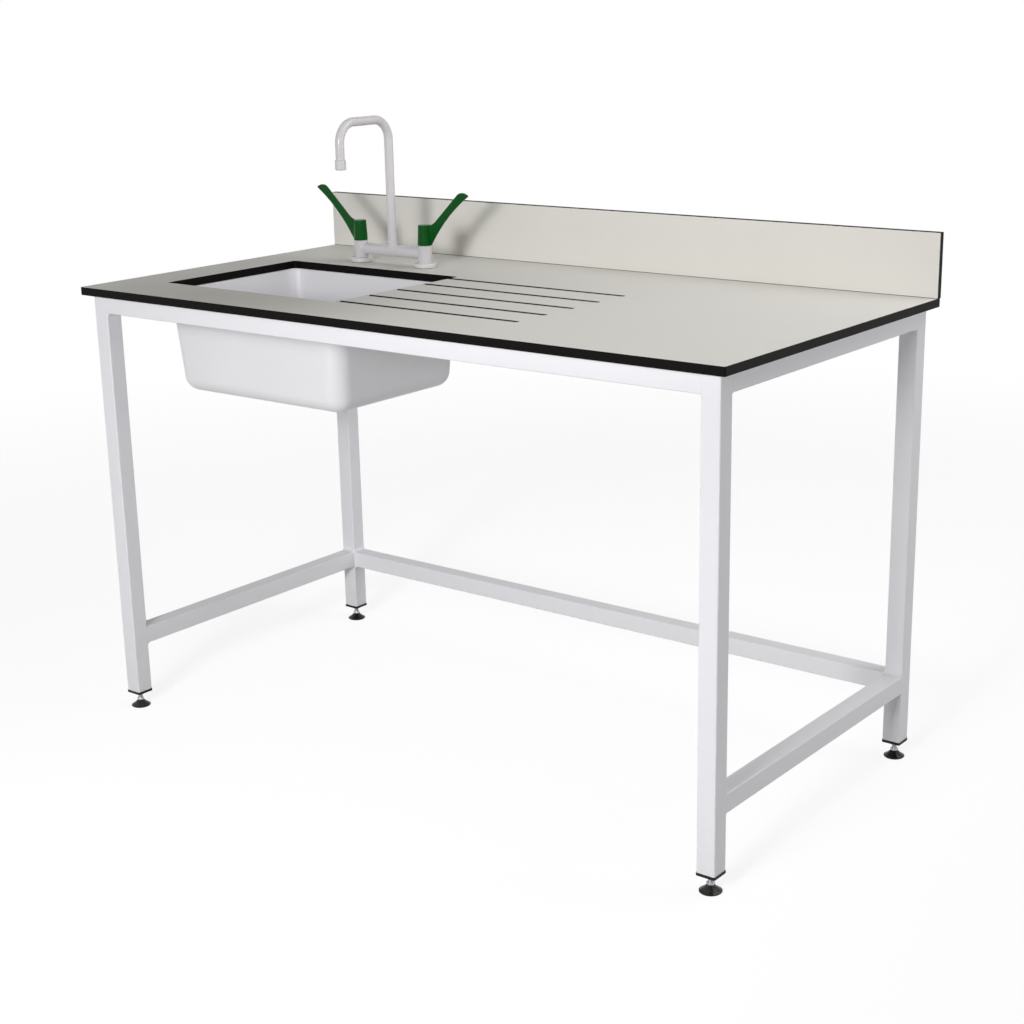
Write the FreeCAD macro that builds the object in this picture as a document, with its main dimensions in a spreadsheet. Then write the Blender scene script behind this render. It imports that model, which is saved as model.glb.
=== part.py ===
"""Laboratory sink unit.

A white welded steel stand on four levelling feet carries a black-cored laminate worktop with an
upstand, drainer grooves and an undermounted moulded basin.  A two-pillar mixer tap with elbow levers
and a swivelling swan neck stands behind the basin.

Millimetres.  +Z is up, +X runs along the worktop, -Y faces the user.  The origin is on the floor
under the middle of the worktop.
"""
import FreeCAD, Part
import math
import os
import re
import Sketcher

V = FreeCAD.Vector
doc = FreeCAD.newDocument("LabSinkUnit")

# ---------------------------------------------------------------------------------------------
# Driving dimensions: alias, value, meaning
# ---------------------------------------------------------------------------------------------
SIZES = [
    ("top_length", 1500, "worktop, along X"),
    ("top_depth", 750, "worktop, along Y"),
    ("top_height", 900, "worktop surface above the floor"),
    ("top_thick", 16, "laminate thickness"),
    ("top_corner", 4, "radius of the worktop's vertical corners"),
    ("top_arris", 0.8, "chamfer that breaks the laminate's sharp edges"),
    ("upstand_height", 120, "upstand above the worktop"),
    ("upstand_thick", 13, "upstand laminate thickness"),
    ("upstand_end", 50, "outer upstand screws from the worktop's ends"),
    ("upstand_screw_length", 50, "upstand screw, head to tip"),
    ("upstand_screw_radius", 2, "upstand screw shank"),
    ("upstand_head_radius", 4, "upstand screw countersunk head"),
    ("overhang", 18, "worktop beyond the stand on every side"),
    ("tube_side", 36, "square tube, outside"),
    ("tube_wall", 2, "square tube, wall"),
    ("tube_corner", 2.5, "square tube, outside corner radius"),
    ("low_rail_top", 175, "top face of the low rails above the floor"),
    ("weld_leg", 8, "leg of the welded corner fillets"),
    ("long_end", 36, "outer screws of a long top rail from its ends"),
    ("short_end", 121, "screws of a short top rail from its ends"),
    ("fixing_radius", 3, "worktop screw shank"),
    ("fixing_bite", 9, "worktop screw inside the laminate"),
    ("fixing_head_radius", 5.5, "worktop screw head"),
    ("fixing_head_height", 3.5, "worktop screw head"),
    ("access_radius", 7, "hole that lets a screw into a rail"),
    ("leg_bottom", 37, "lower end of the leg tubes above the floor"),
    ("insert_flange", 5, "leg insert, flange thickness"),
    ("insert_proud", 1, "leg insert, flange beyond the tube"),
    ("insert_depth", 24, "leg insert, plug inside the tube"),
    ("insert_play", 0.15, "leg insert, plug clear of the tube wall"),
    ("foot_radius", 20, "levelling foot, at the floor"),
    ("foot_height", 13, "levelling foot base"),
    ("foot_rim", 2.5, "levelling foot, straight rim"),
    ("foot_neck", 7, "levelling foot, radius at its top"),
    ("foot_hollow", 46, "levelling foot, radius of the hollow cone line"),
    ("stem_radius", 4.7, "levelling stem"),
    ("stem_length", 54, "levelling stem above its base"),
    ("stem_gap", 0.3, "levelling stem clear of its bores"),
    ("stem_flats", 13, "levelling stem, spanner flats"),
    ("stem_collar", 5, "levelling stem, height of the flats"),
    ("stub_radius", 4, "stub of the stem in the base"),
    ("stub_depth", 7, "stub of the stem in the base"),
    ("nut_flats", 17, "locknut across flats"),
    ("nut_height", 6, "locknut"),
    ("side_gap", 6.5, "basin clips clear of the left top rail"),
    ("front_gap", 30, "basin clips clear of the front top rail"),
    ("cut_length", 460, "sink cut-out along X"),
    ("cut_width", 363, "sink cut-out along Y"),
    ("cut_corner", 6, "sink cut-out, corner radius"),
    ("groove_front", 12.5, "first groove from the front of the cut-out"),
    ("groove_rear", 26.5, "last groove from the rear of the cut-out"),
    ("groove_length", 423, "drainer groove beyond the cut-out"),
    ("groove_radius", 4.5, "round bottom of a drainer groove"),
    ("groove_shallow", 2, "groove depth at its far end"),
    ("groove_deep", 4.4, "groove depth at the basin"),
    ("reveal", 0.5, "basin mouth beyond the cut-out on every side"),
    ("basin_wall", 6, "basin wall"),
    ("basin_floor", 10, "basin floor"),
    ("basin_depth", 205, "basin from its flange face to its underside"),
    ("basin_draw", 14, "how far each wall draws in at the bottom"),
    ("basin_corner", 36, "basin, outside vertical corner radius"),
    ("basin_sweep", 32, "basin, outside radius from wall to floor"),
    ("flange_width", 25, "basin flange beyond the wall"),
    ("flange_thick", 9, "basin flange"),
    ("seal_thick", 1, "silicone under the worktop"),
    ("seal_width", 18, "silicone, width of the bead"),
    ("clip_width", 20, "basin clip"),
    ("clip_thick", 2, "basin clip sheet"),
    ("clip_grip", 12, "basin clip under the flange"),
    ("clip_tail", 17, "basin clip beyond the flange"),
    ("clip_end", 110, "clips from the corners of the basin flange"),
    ("clip_screw_radius", 2.4, "clip screw shank"),
    ("clip_screw_bite", 8, "clip screw inside the laminate"),
    ("clip_head_radius", 4.5, "clip screw head"),
    ("clip_head_height", 3, "clip screw head"),
    ("waste_radius", 42, "waste flange"),
    ("waste_thick", 3, "waste flange"),
    ("gasket_thick", 1, "gasket under the waste flange"),
    ("tail_radius", 23.9, "threaded waste tail, 1 1/2 inch pipe thread"),
    ("tail_bore", 20, "waste tail, inside"),
    ("tail_drop", 36, "waste tail below the basin"),
    ("tail_play", 0.6, "basin outlet clear of the waste tail"),
    ("thread_play", 0.15, "nuts and washers clear of their threads"),
    ("relief_gap", 0.5, "thread relief below a back nut"),
    ("relief_width", 2.5, "thread relief between nut and connection"),
    ("relief_depth", 0.7, "thread relief"),
    ("grate_bar", 3, "cross bars of the waste"),
    ("washer_thick", 3, "rubber washers"),
    ("washer_radius", 37, "waste washer"),
    ("back_nut_radius", 36, "waste back nut"),
    ("back_nut_height", 12, "waste back nut"),
    ("back_nut_lug", 4, "grip lugs of the waste back nut"),
    ("tap_shift", 5, "tap to the left of the basin's middle"),
    ("tap_gap", 1, "tap washers clear of the basin clips"),
    ("pillar_pitch", 181, "spacing of the tap pillars"),
    ("pillar_radius", 15, "tap pillar"),
    ("pillar_height", 46, "top of the tap pillars above the worktop"),
    ("tap_gasket", 1, "gasket under a tap flange"),
    ("rose_radius", 24.3, "round flange of a tap pillar"),
    ("rose_height", 9, "round flange of a tap pillar"),
    ("rose_rim", 4.5, "round flange, straight rim"),
    ("rose_play", 0.1, "round flange clear of its pillar"),
    ("bridge_radius", 12, "bridge tube of the tap"),
    ("bridge_height", 29, "axis of the bridge above the worktop"),
    ("socket_radius", 11, "spout socket on the bridge"),
    ("socket_height", 45.5, "top of the spout socket above the worktop"),
    ("socket_depth", 17, "bore of the spout socket"),
    ("bridge_blend", 2.5, "fillet between bridge and pillars"),
    ("collar_height", 5, "spout collar nut"),
    ("spout_radius", 9.25, "swan neck tube, outside"),
    ("spout_bore", 7.5, "swan neck tube, inside"),
    ("spout_gap", 0.3, "swan neck clear of its collar"),
    ("spout_rise", 302.6, "axis of the swan neck's top above the worktop"),
    ("spout_reach", 148, "riser to outlet"),
    ("spout_bend", 42, "bend radius of the swan neck"),
    ("spigot_radius", 8.5, "turning spigot of the swan neck"),
    ("turn_play", 0.05, "running fit of the turning parts"),
    ("ring_section", 1.1, "O-ring, section radius"),
    ("ring_pitch", 6, "spacing of the O-rings"),
    ("outlet_height", 209.4, "mouth of the outlet above the worktop"),
    ("outlet_radius", 11.3, "outlet collar"),
    ("outlet_length", 20, "outlet collar"),
    ("outlet_socket", 11, "swan neck inside the outlet collar"),
    ("outlet_bore", 6, "mouth of the outlet"),
    ("valve_radius", 9, "valve cartridge in its pillar"),
    ("valve_depth", 22, "valve cartridge in its pillar"),
    ("valve_stand", 11, "valve cartridge above its pillar"),
    ("valve_play", 0.05, "valve cartridge clear of its pillar"),
    ("spindle_radius", 4, "valve spindle"),
    ("spindle_depth", 8.5, "valve spindle below the pillar top"),
    ("cap_gap", 0.3, "lever cap above its pillar"),
    ("cap_height", 42.7, "lever cap"),
    ("cap_foot_radius", 15, "lever cap at its foot"),
    ("cap_top_radius", 13.2, "lever cap at its top"),
    ("cap_cavity", 10.8, "lever cap, hollow round the cartridge"),
    ("cap_cavity_height", 14, "lever cap, hollow round the cartridge"),
    ("cap_crown", 10, "lever cap, solid above the spindle"),
    ("cap_round", 1.5, "lever cap, rounded top edge"),
    ("blade_thick", 6, "lever blade"),
    ("blade_round", 1.6, "lever blade, rounded edges"),
    ("blade_foot_x", 18, "lower corner of the blade's root, from the axis"),
    ("blade_foot_z", 1, "lower corner of the blade's root, above the cap's foot"),
    ("blade_foot_round", 3, "lower corner of the blade's root"),
    ("blade_sweep", 350, "hollow lower edge of the blade"),
    ("blade_toe_x", 122.3, "lower corner of the blade's nose, from the axis"),
    ("blade_toe_z", 107.6, "lower corner of the blade's nose, above the cap's foot"),
    ("blade_toe_round", 2.5, "lower corner of the blade's nose"),
    ("blade_peak_x", 100.6, "upper corner of the blade's nose, from the axis"),
    ("blade_peak_z", 116, "upper corner of the blade's nose, above the cap's foot"),
    ("blade_peak_round", 19, "upper corner of the blade's nose"),
    ("blade_neck_x", 24.3, "bend of the blade's upper edge, from the axis"),
    ("blade_neck_rise", 0.7, "bend of the blade's upper edge, above the cap"),
    ("blade_neck_round", 38, "bend of the blade's upper edge"),
    ("blade_root_drop", 1.2, "upper end of the blade's root, below the cap's top"),
    ("grub_radius", 2, "lever grub screw"),
    ("grub_length", 7, "lever grub screw"),
    ("grub_height", 20, "lever grub screw above the cap's foot"),
    ("inlet_radius", 10.48, "threaded inlet tail, 1/2 inch pipe thread"),
    ("inlet_bore", 6, "inlet tail, inside"),
    ("inlet_drop", 45, "inlet tail below the worktop"),
    ("inlet_neck", 8.9, "inlet tail inside its pillar"),
    ("inlet_neck_length", 10, "inlet tail inside its pillar"),
    ("inlet_hole", 11.5, "hole for an inlet tail in the worktop"),
    ("inlet_washer", 19, "washer of an inlet tail"),
    ("inlet_nut_flats", 30, "back nut of an inlet tail"),
    ("inlet_nut_height", 9, "back nut of an inlet tail"),
]
GROOVE_COUNT = 5
LONG_SCREWS = 4
SHORT_SCREWS = 2
UPSTAND_SCREWS = 6

# Levels and places that follow from the driving dimensions
DERIVED = {
    "top_under": "(top_height - top_thick)",
    "stand_x": "(top_length / 2 - overhang - tube_side / 2)",
    "stand_y": "(top_depth / 2 - overhang - tube_side / 2)",
    "leg_height": "(top_under - leg_bottom)",
    "top_rail_z": "(top_under - tube_side / 2)",
    "low_rail_z": "(low_rail_top - tube_side / 2)",
    "long_rail": "(2 * stand_x - tube_side)",
    "short_rail": "(2 * stand_y - tube_side)",
    "long_pitch": "((long_rail - 2 * long_end) / %d)" % (LONG_SCREWS - 1),
    "short_pitch": "((short_rail - 2 * short_end) / %d)" % (SHORT_SCREWS - 1),
    "upstand_pitch": "((top_length - 2 * upstand_end) / %d)" % (UPSTAND_SCREWS - 1),
    "tube_inner": "(tube_side - 2 * tube_wall)",
    "insert_under": "(leg_bottom - insert_flange)",
    "flange_top": "(top_under - seal_thick)",
    "basin_under": "(flange_top - basin_depth)",
    "cut_x": "(clip_x + side_gap - stand_x + tube_side / 2)",
    "cut_y": "(clip_y + front_gap - stand_y + tube_side / 2)",
    "mouth_x": "(cut_length / 2 + reveal)",
    "mouth_y": "(cut_width / 2 + reveal)",
    "flange_x": "(mouth_x + basin_wall + flange_width)",
    "flange_y": "(mouth_y + basin_wall + flange_width)",
    "clip_x": "(flange_x + clip_tail)",
    "clip_y": "(flange_y + clip_tail)",
    "waste_seat": "(basin_under + basin_floor - waste_thick - gasket_thick)",
    "tail_end": "(basin_under - tail_drop)",
    "waste_nut_z": "(basin_under - washer_thick - back_nut_height)",
    "inlet_nut_z": "(top_under - washer_thick - inlet_nut_height)",
    "tap_x": "(cut_x - tap_shift)",
    "tap_y": "(cut_y + clip_y + tap_gap + inlet_washer)",
    "pillar_foot": "(top_height + tap_gasket)",
    "pillar_top": "(top_height + pillar_height)",
    "bridge_z": "(top_height + bridge_height)",
    "socket_top": "(top_height + socket_height)",
    "neck_z": "(top_height + spout_rise)",
    "outlet_z": "(top_height + outlet_height)",
    "cap_foot": "(pillar_top + cap_gap)",
    "spindle_foot": "(pillar_top - spindle_depth)",
    "spindle_top": "(cap_foot + cap_height - cap_crown)",
    "valve_foot": "(pillar_top - valve_depth)",
    "groove_y": "(cut_y - cut_width / 2 + groove_front)",
    "groove_pitch": "((cut_width - groove_front - groove_rear) / %d)" % (GROOVE_COUNT - 1),
    "groove_x": "(cut_x + cut_length / 2)",
}

sheet = doc.addObject("Spreadsheet::Sheet", "Sizes")
for row, (alias, size, meaning) in enumerate(SIZES, 1):
    sheet.set("A%d" % row, meaning)
    sheet.set("B%d" % row, str(size))
    sheet.setAlias("B%d" % row, alias)
doc.recompute()

ALIASES = {alias for alias, size, meaning in SIZES}
PARTS = []


# ---------------------------------------------------------------------------------------------
# Expressions and features
# ---------------------------------------------------------------------------------------------
def formula(text):
    """Turn plain size names into a FreeCAD expression on the sheet's cells."""
    def word(match):
        name = match.group()
        if name in DERIVED:
            return formula(DERIVED[name])
        return "Sizes." + name if name in ALIASES else name
    return re.sub(r"[a-z][a-z_]*", word, str(text))


def value(text):
    """Present number of a formula, for the first shape of a sketch and for picking edges."""
    return float(sheet.evalExpression(formula(text)))


def bind(item, **formulas):
    """Bind properties to formulas; a double underscore stands for a dot."""
    for name, text in formulas.items():
        item.setExpression(name.replace("__", "."), formula(text))
    return item


def place(item, x="0", y="0", z="0"):
    """Bind the place of an object."""
    return bind(item, Placement__Base__x=x, Placement__Base__y=y, Placement__Base__z=z)


def new_body(label):
    """An empty body for one piece."""
    body = doc.addObject("PartDesign::Body", label)
    body.Label = label
    return body


def keep(item):
    """Hand a finished piece to the export."""
    PARTS.append(item)
    return item


def new_sketch(body, role="XY_Plane", offset="0"):
    """A sketch on one of the body's own planes, shifted along the plane's normal."""
    plane = next(item for item in body.Origin.OriginFeatures if item.Role == role)
    sketch = body.newObject("Sketcher::SketchObject", body.Label + "_sketch")
    sketch.AttachmentSupport = [(plane, "")]
    sketch.MapMode = "FlatFace"
    bind(sketch, AttachmentOffset__Base__z=offset)
    return sketch


def fix(sketch, constraint, text):
    """Add a constraint and bind its size."""
    index = sketch.addConstraint(constraint)
    sketch.setExpression("Constraints[%d]" % index, formula(text))


def arc_through(start, end, radius):
    """Arc from start to end; a positive radius turns left, a negative one right."""
    half = (end - start) / 2
    reach = math.sqrt(max(radius * radius - half.Length ** 2, 0))
    left = V(-half.y, half.x, 0).normalize()
    centre = start + half + left * math.copysign(reach, radius)
    first = math.atan2(start.y - centre.y, start.x - centre.x)
    last = math.atan2(end.y - centre.y, end.x - centre.x)
    circle = Part.Circle(centre, V(0, 0, 1), abs(radius))
    if radius > 0:
        return Part.ArcOfCircle(circle, first, last), (1, 2)
    return Part.ArcOfCircle(circle, last, first), (2, 1)


def outline(sketch, corners, closed=True):
    """Draw lines and arcs through corners (x, y) or (x, y, radius), each bound to its formulas.

    A radius belongs to the edge that leaves the corner.
    """
    spots = [V(value(corner[0]), value(corner[1]), 0) for corner in corners]
    count = len(corners) if closed else len(corners) - 1
    edges = []
    for i in range(count):
        start, end = spots[i], spots[(i + 1) % len(spots)]
        if len(corners[i]) == 3:
            curve, ends = arc_through(start, end, value(corners[i][2]))
        else:
            curve, ends = Part.LineSegment(start, end), (1, 2)
        edges.append((sketch.addGeometry(curve), ends))
    for i in range(count if closed else count - 1):
        edge, ends = edges[i]
        after, after_ends = edges[(i + 1) % count]
        sketch.addConstraint(Sketcher.Constraint("Coincident", edge, ends[1], after, after_ends[0]))
    for i, corner in enumerate(corners):
        edge, ends = edges[min(i, count - 1)]
        point = ends[0] if i < count else ends[1]
        fix(sketch, Sketcher.Constraint("DistanceX", edge, point, spots[i].x), corner[0])
        fix(sketch, Sketcher.Constraint("DistanceY", edge, point, spots[i].y), corner[1])
        if len(corner) == 3:
            size = abs(value(corner[2]))
            fix(sketch, Sketcher.Constraint("Radius", edge, size), "abs(%s)" % corner[2])
    return sketch


def rectangle(sketch, half_x, half_y):
    """Rectangle about the sketch's origin."""
    low_x, low_y = "-(%s)" % half_x, "-(%s)" % half_y
    return outline(sketch, [(low_x, low_y), (half_x, low_y), (half_x, half_y), (low_x, half_y)])


def circles(sketch, centres, radius):
    """Equal circles at the given centres."""
    for x, y in centres:
        spot = V(value(x), value(y), 0)
        edge = sketch.addGeometry(Part.Circle(spot, V(0, 0, 1), value(radius)))
        fix(sketch, Sketcher.Constraint("Radius", edge, value(radius)), radius)
        fix(sketch, Sketcher.Constraint("DistanceX", edge, 3, spot.x), x)
        fix(sketch, Sketcher.Constraint("DistanceY", edge, 3, spot.y), y)
    return sketch


def hexagon(sketch, flats):
    """Regular hexagon about the sketch's origin, given across its flats."""
    corners = []
    for step in range(6):
        angle = 60 * step + 30
        corners.append(("%s / sqrt(3) * cos(%d deg)" % (flats, angle),
                        "%s / sqrt(3) * sin(%d deg)" % (flats, angle)))
    return outline(sketch, corners)


def feature(body, kind, sketch, **formulas):
    """Add a sketch-based feature."""
    item = body.newObject("PartDesign::" + kind, body.Label + "_" + kind.lower())
    item.Profile = sketch
    sketch.Visibility = False
    bind(item, **formulas)
    return item


def pad(body, sketch, length, reverse=False):
    """Extrude a sketch along its normal, or against it."""
    item = feature(body, "Pad", sketch, Length=length)
    item.Reversed = reverse
    return item


def cut(body, sketch, depth, along_normal=False):
    """Cut a sketch's outline into the body, and see that it did cut."""
    doc.recompute()
    before = body.Shape.Volume
    item = feature(body, "Pocket", sketch, Length=depth)
    item.Reversed = along_normal
    doc.recompute()
    if item.Shape.Volume >= before:
        raise RuntimeError(body.Label + ": a pocket cuts nothing")
    return item


def turned(body, corners, kind="Revolution"):
    """Revolve an outline of (radius, height) corners about the body's Z axis."""
    sketch = outline(new_sketch(body, "XZ_Plane"), corners)
    item = feature(body, kind, sketch)
    item.ReferenceAxis = (sketch, ["V_Axis"])
    item.Angle = 360
    return item


def edges_where(shape, test):
    """Names of the edges whose points all pass a test."""
    names = []
    for index, edge in enumerate(shape.Edges, 1):
        ends = [vertex.Point for vertex in edge.Vertexes]
        if ends and all(test(point) for point in ends):
            names.append("Edge%d" % index)
    return names


def upright_edges(shape, half_x, half_y):
    """Names of the vertical edges at the corners of a centred rectangle."""
    names = []
    for index, edge in enumerate(shape.Edges, 1):
        first, last = edge.Vertexes[0].Point, edge.Vertexes[-1].Point
        if math.hypot(first.x - last.x, first.y - last.y) > 1e-4 or abs(first.z - last.z) < 1e-4:
            continue
        if abs(abs(first.x) - half_x) < 1e-4 and abs(abs(first.y) - half_y) < 1e-4:
            names.append("Edge%d" % index)
    return names


def dress(body, kind, names, **formulas):
    """Fillet or chamfer the named edges of the body's tip."""
    if not names:
        raise RuntimeError(body.Label + ": no edges to dress")
    base = body.Tip
    item = body.newObject("PartDesign::" + kind, body.Label + "_" + kind.lower())
    item.Base = (base, names)
    bind(item, **formulas)
    doc.recompute()
    return item


def group(label, master, places):
    """Equal separate solids: links to one master piece, each at its (x, y, z, rotation)."""
    links = []
    for index, (x, y, z, rotation) in enumerate(places):
        link = doc.addObject("App::Link", "%s_%d" % (label, index + 1))
        link.LinkedObject = master
        link.Placement = FreeCAD.Placement(V(0, 0, 0), rotation)
        place(link, x, y, z)
        links.append(link)
    compound = doc.addObject("Part::Compound", label)
    compound.Label = label
    compound.Links = links
    return keep(compound)


def spaced(pitch, count):
    """Formulas of evenly spaced places about zero."""
    return ["%s * %g" % (pitch, index - (count - 1) / 2) for index in range(count)]


def turn(degrees, axis=V(0, 0, 1)):
    """Rotation about an axis."""
    return FreeCAD.Rotation(axis, degrees)


UPRIGHT = turn(0)
CORNERS = {"front_left": ("-", "-"), "front_right": ("", "-"),
           "rear_left": ("-", ""), "rear_right": ("", "")}


# ---------------------------------------------------------------------------------------------
# Stand: square tube legs, top rails and low rails, and the welds that join them
# ---------------------------------------------------------------------------------------------
def square_tube(label, length):
    """Rounded square tube standing on the XY plane about the Z axis."""
    body = new_body(label)
    sketch = new_sketch(body)
    rectangle(sketch, "tube_side / 2", "tube_side / 2")
    rectangle(sketch, "tube_inner / 2", "tube_inner / 2")
    pad(body, sketch, length)
    doc.recompute()
    half = value("tube_side / 2")
    dress(body, "Fillet", upright_edges(body.Shape, half, half), Radius="tube_corner")
    return body


def make_leg(corner):
    """Upright tube from the foot insert to the worktop."""
    sign_x, sign_y = CORNERS[corner]
    leg = square_tube("leg_" + corner, "leg_height")
    place(leg, sign_x + "stand_x", sign_y + "stand_y", "leg_bottom")
    keep(leg)


def make_rail(label, length, along_y, x, y, z, pitch="", screws=0):
    """Horizontal tube; top rails are drilled for the screws that hold the worktop.

    The tube is made upright and laid down, so its own +X side faces the floor.
    """
    rail = square_tube(label, length)
    if screws:
        marks = [("%s + %s / 2" % (step, length), "0") for step in spaced(pitch, screws)]
        for radius, plane, along in (("fixing_radius + stem_gap", "-tube_side / 2", True),
                                     ("access_radius", "tube_side / 2", False)):
            sketch = new_sketch(rail, "YZ_Plane", plane)
            circles(sketch, [(across, height) for height, across in marks], radius)
            cut(rail, sketch, "tube_wall * 1.5", along)
    heading = turn(90) if along_y else UPRIGHT
    rail.Placement = FreeCAD.Placement(V(0, 0, 0), heading * turn(90, V(0, 1, 0)))
    shift_x = "0" if along_y else length + " / 2"
    shift_y = length + " / 2" if along_y else "0"
    place(rail, "%s - %s" % (x, shift_x), "%s - %s" % (y, shift_y), z)
    keep(rail)


def make_welds():
    """Small hollow fillets in the inner corners between rails and legs."""
    bead = new_body("weld_master")
    half = "(tube_side / 2 - tube_corner)"
    sketch = new_sketch(bead, "XZ_Plane", "-" + half)
    outline(sketch, [("0", "0"), ("0", "-weld_leg", "-weld_leg"), ("weld_leg", "0")])
    pad(bead, sketch, "2 * " + half)
    under, over = UPRIGHT, turn(180, V(1, 0, 0))
    places = []
    for rail_z, faces in (("top_rail_z", (under,)), ("low_rail_z", (under, over))):
        for face in faces:
            z = "%s %s tube_side / 2" % (rail_z, "-" if face is under else "+")
            for sign_x, sign_y in CORNERS.values():
                to_middle_x = turn(0 if sign_x else 180)
                to_middle_y = turn(90 if sign_y else -90)
                inner_x = "%s(stand_x - tube_side / 2)" % sign_x
                inner_y = "%s(stand_y - tube_side / 2)" % sign_y
                if rail_z == "top_rail_z" or not sign_y:
                    places.append((inner_x, sign_y + "stand_y", z, to_middle_x * face))
                places.append((sign_x + "stand_x", inner_y, z, to_middle_y * face))
    group("frame_welds", bead, places)


def make_stand():
    """All tubes of the stand."""
    for corner in CORNERS:
        make_leg(corner)
    for side, sign in (("front", "-"), ("rear", "")):
        make_rail("top_rail_" + side, "long_rail", False, "0", sign + "stand_y", "top_rail_z",
                  "long_pitch", LONG_SCREWS)
    for side, sign in (("left", "-"), ("right", "")):
        make_rail("top_rail_" + side, "short_rail", True, sign + "stand_x", "0", "top_rail_z",
                  "short_pitch", SHORT_SCREWS)
        make_rail("low_rail_" + side, "short_rail", True, sign + "stand_x", "0", "low_rail_z")
    make_rail("low_rail_rear", "long_rail", False, "0", "stand_y", "low_rail_z")
    make_welds()


# ---------------------------------------------------------------------------------------------
# Levelling feet: plug in the leg, zinc stem with its locknut, round plastic base
# ---------------------------------------------------------------------------------------------
def make_insert(corner):
    """Plastic plug whose flange closes the leg; the stem screws through it."""
    sign_x, sign_y = CORNERS[corner]
    body = new_body("leg_insert_" + corner)
    rim = "(tube_side / 2 + insert_proud)"
    pad(body, rectangle(new_sketch(body), rim, rim), "insert_flange")
    doc.recompute()
    half = value(rim)
    dress(body, "Fillet", upright_edges(body.Shape, half, half), Radius="tube_corner + insert_proud")
    plug = "(tube_inner / 2 - insert_play)"
    pad(body, rectangle(new_sketch(body, offset="insert_flange"), plug, plug), "insert_depth")
    hole = circles(new_sketch(body), [("0", "0")], "stem_radius + stem_gap")
    cut(body, hole, "insert_flange + insert_depth", along_normal=True)
    place(body, sign_x + "stand_x", sign_y + "stand_y", "insert_under")
    keep(body)


def make_locknuts():
    """Hexagon nuts run up against the inserts."""
    nut = new_body("locknut_master")
    pad(nut, hexagon(new_sketch(nut), "nut_flats"), "nut_height")
    hole = circles(new_sketch(nut), [("0", "0")], "stem_radius + stem_gap")
    cut(nut, hole, "nut_height", along_normal=True)
    places = [(sign_x + "stand_x", sign_y + "stand_y", "insert_under - nut_height", UPRIGHT)
              for sign_x, sign_y in CORNERS.values()]
    group("foot_locknuts", nut, places)


def make_foot(corner):
    """Stem and base, which turn up and down together."""
    sign_x, sign_y = CORNERS[corner]
    stem = new_body("foot_stem_" + corner)
    sketch = hexagon(new_sketch(stem, offset="foot_height"), "stem_flats")
    pad(stem, sketch, "stem_collar")
    point = "stem_radius - 1"
    turned(stem, [("0", "foot_height - stub_depth"),
                  ("stub_radius", "foot_height - stub_depth"),
                  ("stub_radius", "foot_height + 1"),
                  ("stem_radius", "foot_height + 1"),
                  ("stem_radius", "foot_height + stem_length - 1"),
                  (point, "foot_height + stem_length"),
                  ("0", "foot_height + stem_length")])
    base = new_body("foot_base_" + corner)
    turned(base, [("0", "0"),
                  ("foot_radius - 1", "0"),
                  ("foot_radius", "1"),
                  ("foot_radius", "foot_rim", "-foot_hollow"),
                  ("foot_neck", "foot_height"),
                  ("stub_radius + turn_play", "foot_height"),
                  ("stub_radius + turn_play", "foot_height - stub_depth"),
                  ("0", "foot_height - stub_depth")])
    for body in (stem, base):
        place(body, sign_x + "stand_x", sign_y + "stand_y")
        keep(body)


def make_feet():
    """Four levelling feet."""
    for corner in CORNERS:
        make_insert(corner)
        make_foot(corner)
    make_locknuts()


# ---------------------------------------------------------------------------------------------
# Worktop, upstand and their screws
# ---------------------------------------------------------------------------------------------
def rail_marks():
    """Where the stand's screws enter the worktop."""
    marks = []
    for sign in ("-", ""):
        marks += [(step, sign + "stand_y") for step in spaced("long_pitch", LONG_SCREWS)]
        marks += [(sign + "stand_x", step) for step in spaced("short_pitch", SHORT_SCREWS)]
    return marks


def upstand_marks():
    """Where the upstand's screws pass the worktop."""
    return [(step, "top_depth / 2 - upstand_thick / 2")
            for step in spaced("upstand_pitch", UPSTAND_SCREWS)]


def clip_marks():
    """Screws of the basin clips, each with the heading of its clip."""
    beyond_x, beyond_y = "(clip_x - clip_tail / 2)", "(clip_y - clip_tail / 2)"
    marks = []
    for sign, heading in (("-", 0), ("+", 180)):
        for step in spaced("2 * (flange_x - clip_end)", 2):
            marks.append(("cut_x + " + step, "cut_y %s %s" % (sign, beyond_y), turn(heading)))
        for step in spaced("2 * (flange_y - clip_end)", 2):
            marks.append(("cut_x %s %s" % (sign, beyond_x), "cut_y + " + step, turn(heading - 90)))
    return marks


def pillar_marks():
    """Axes of the two tap pillars."""
    return [("tap_x + " + step, "tap_y") for step in spaced("pillar_pitch", 2)]


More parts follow.
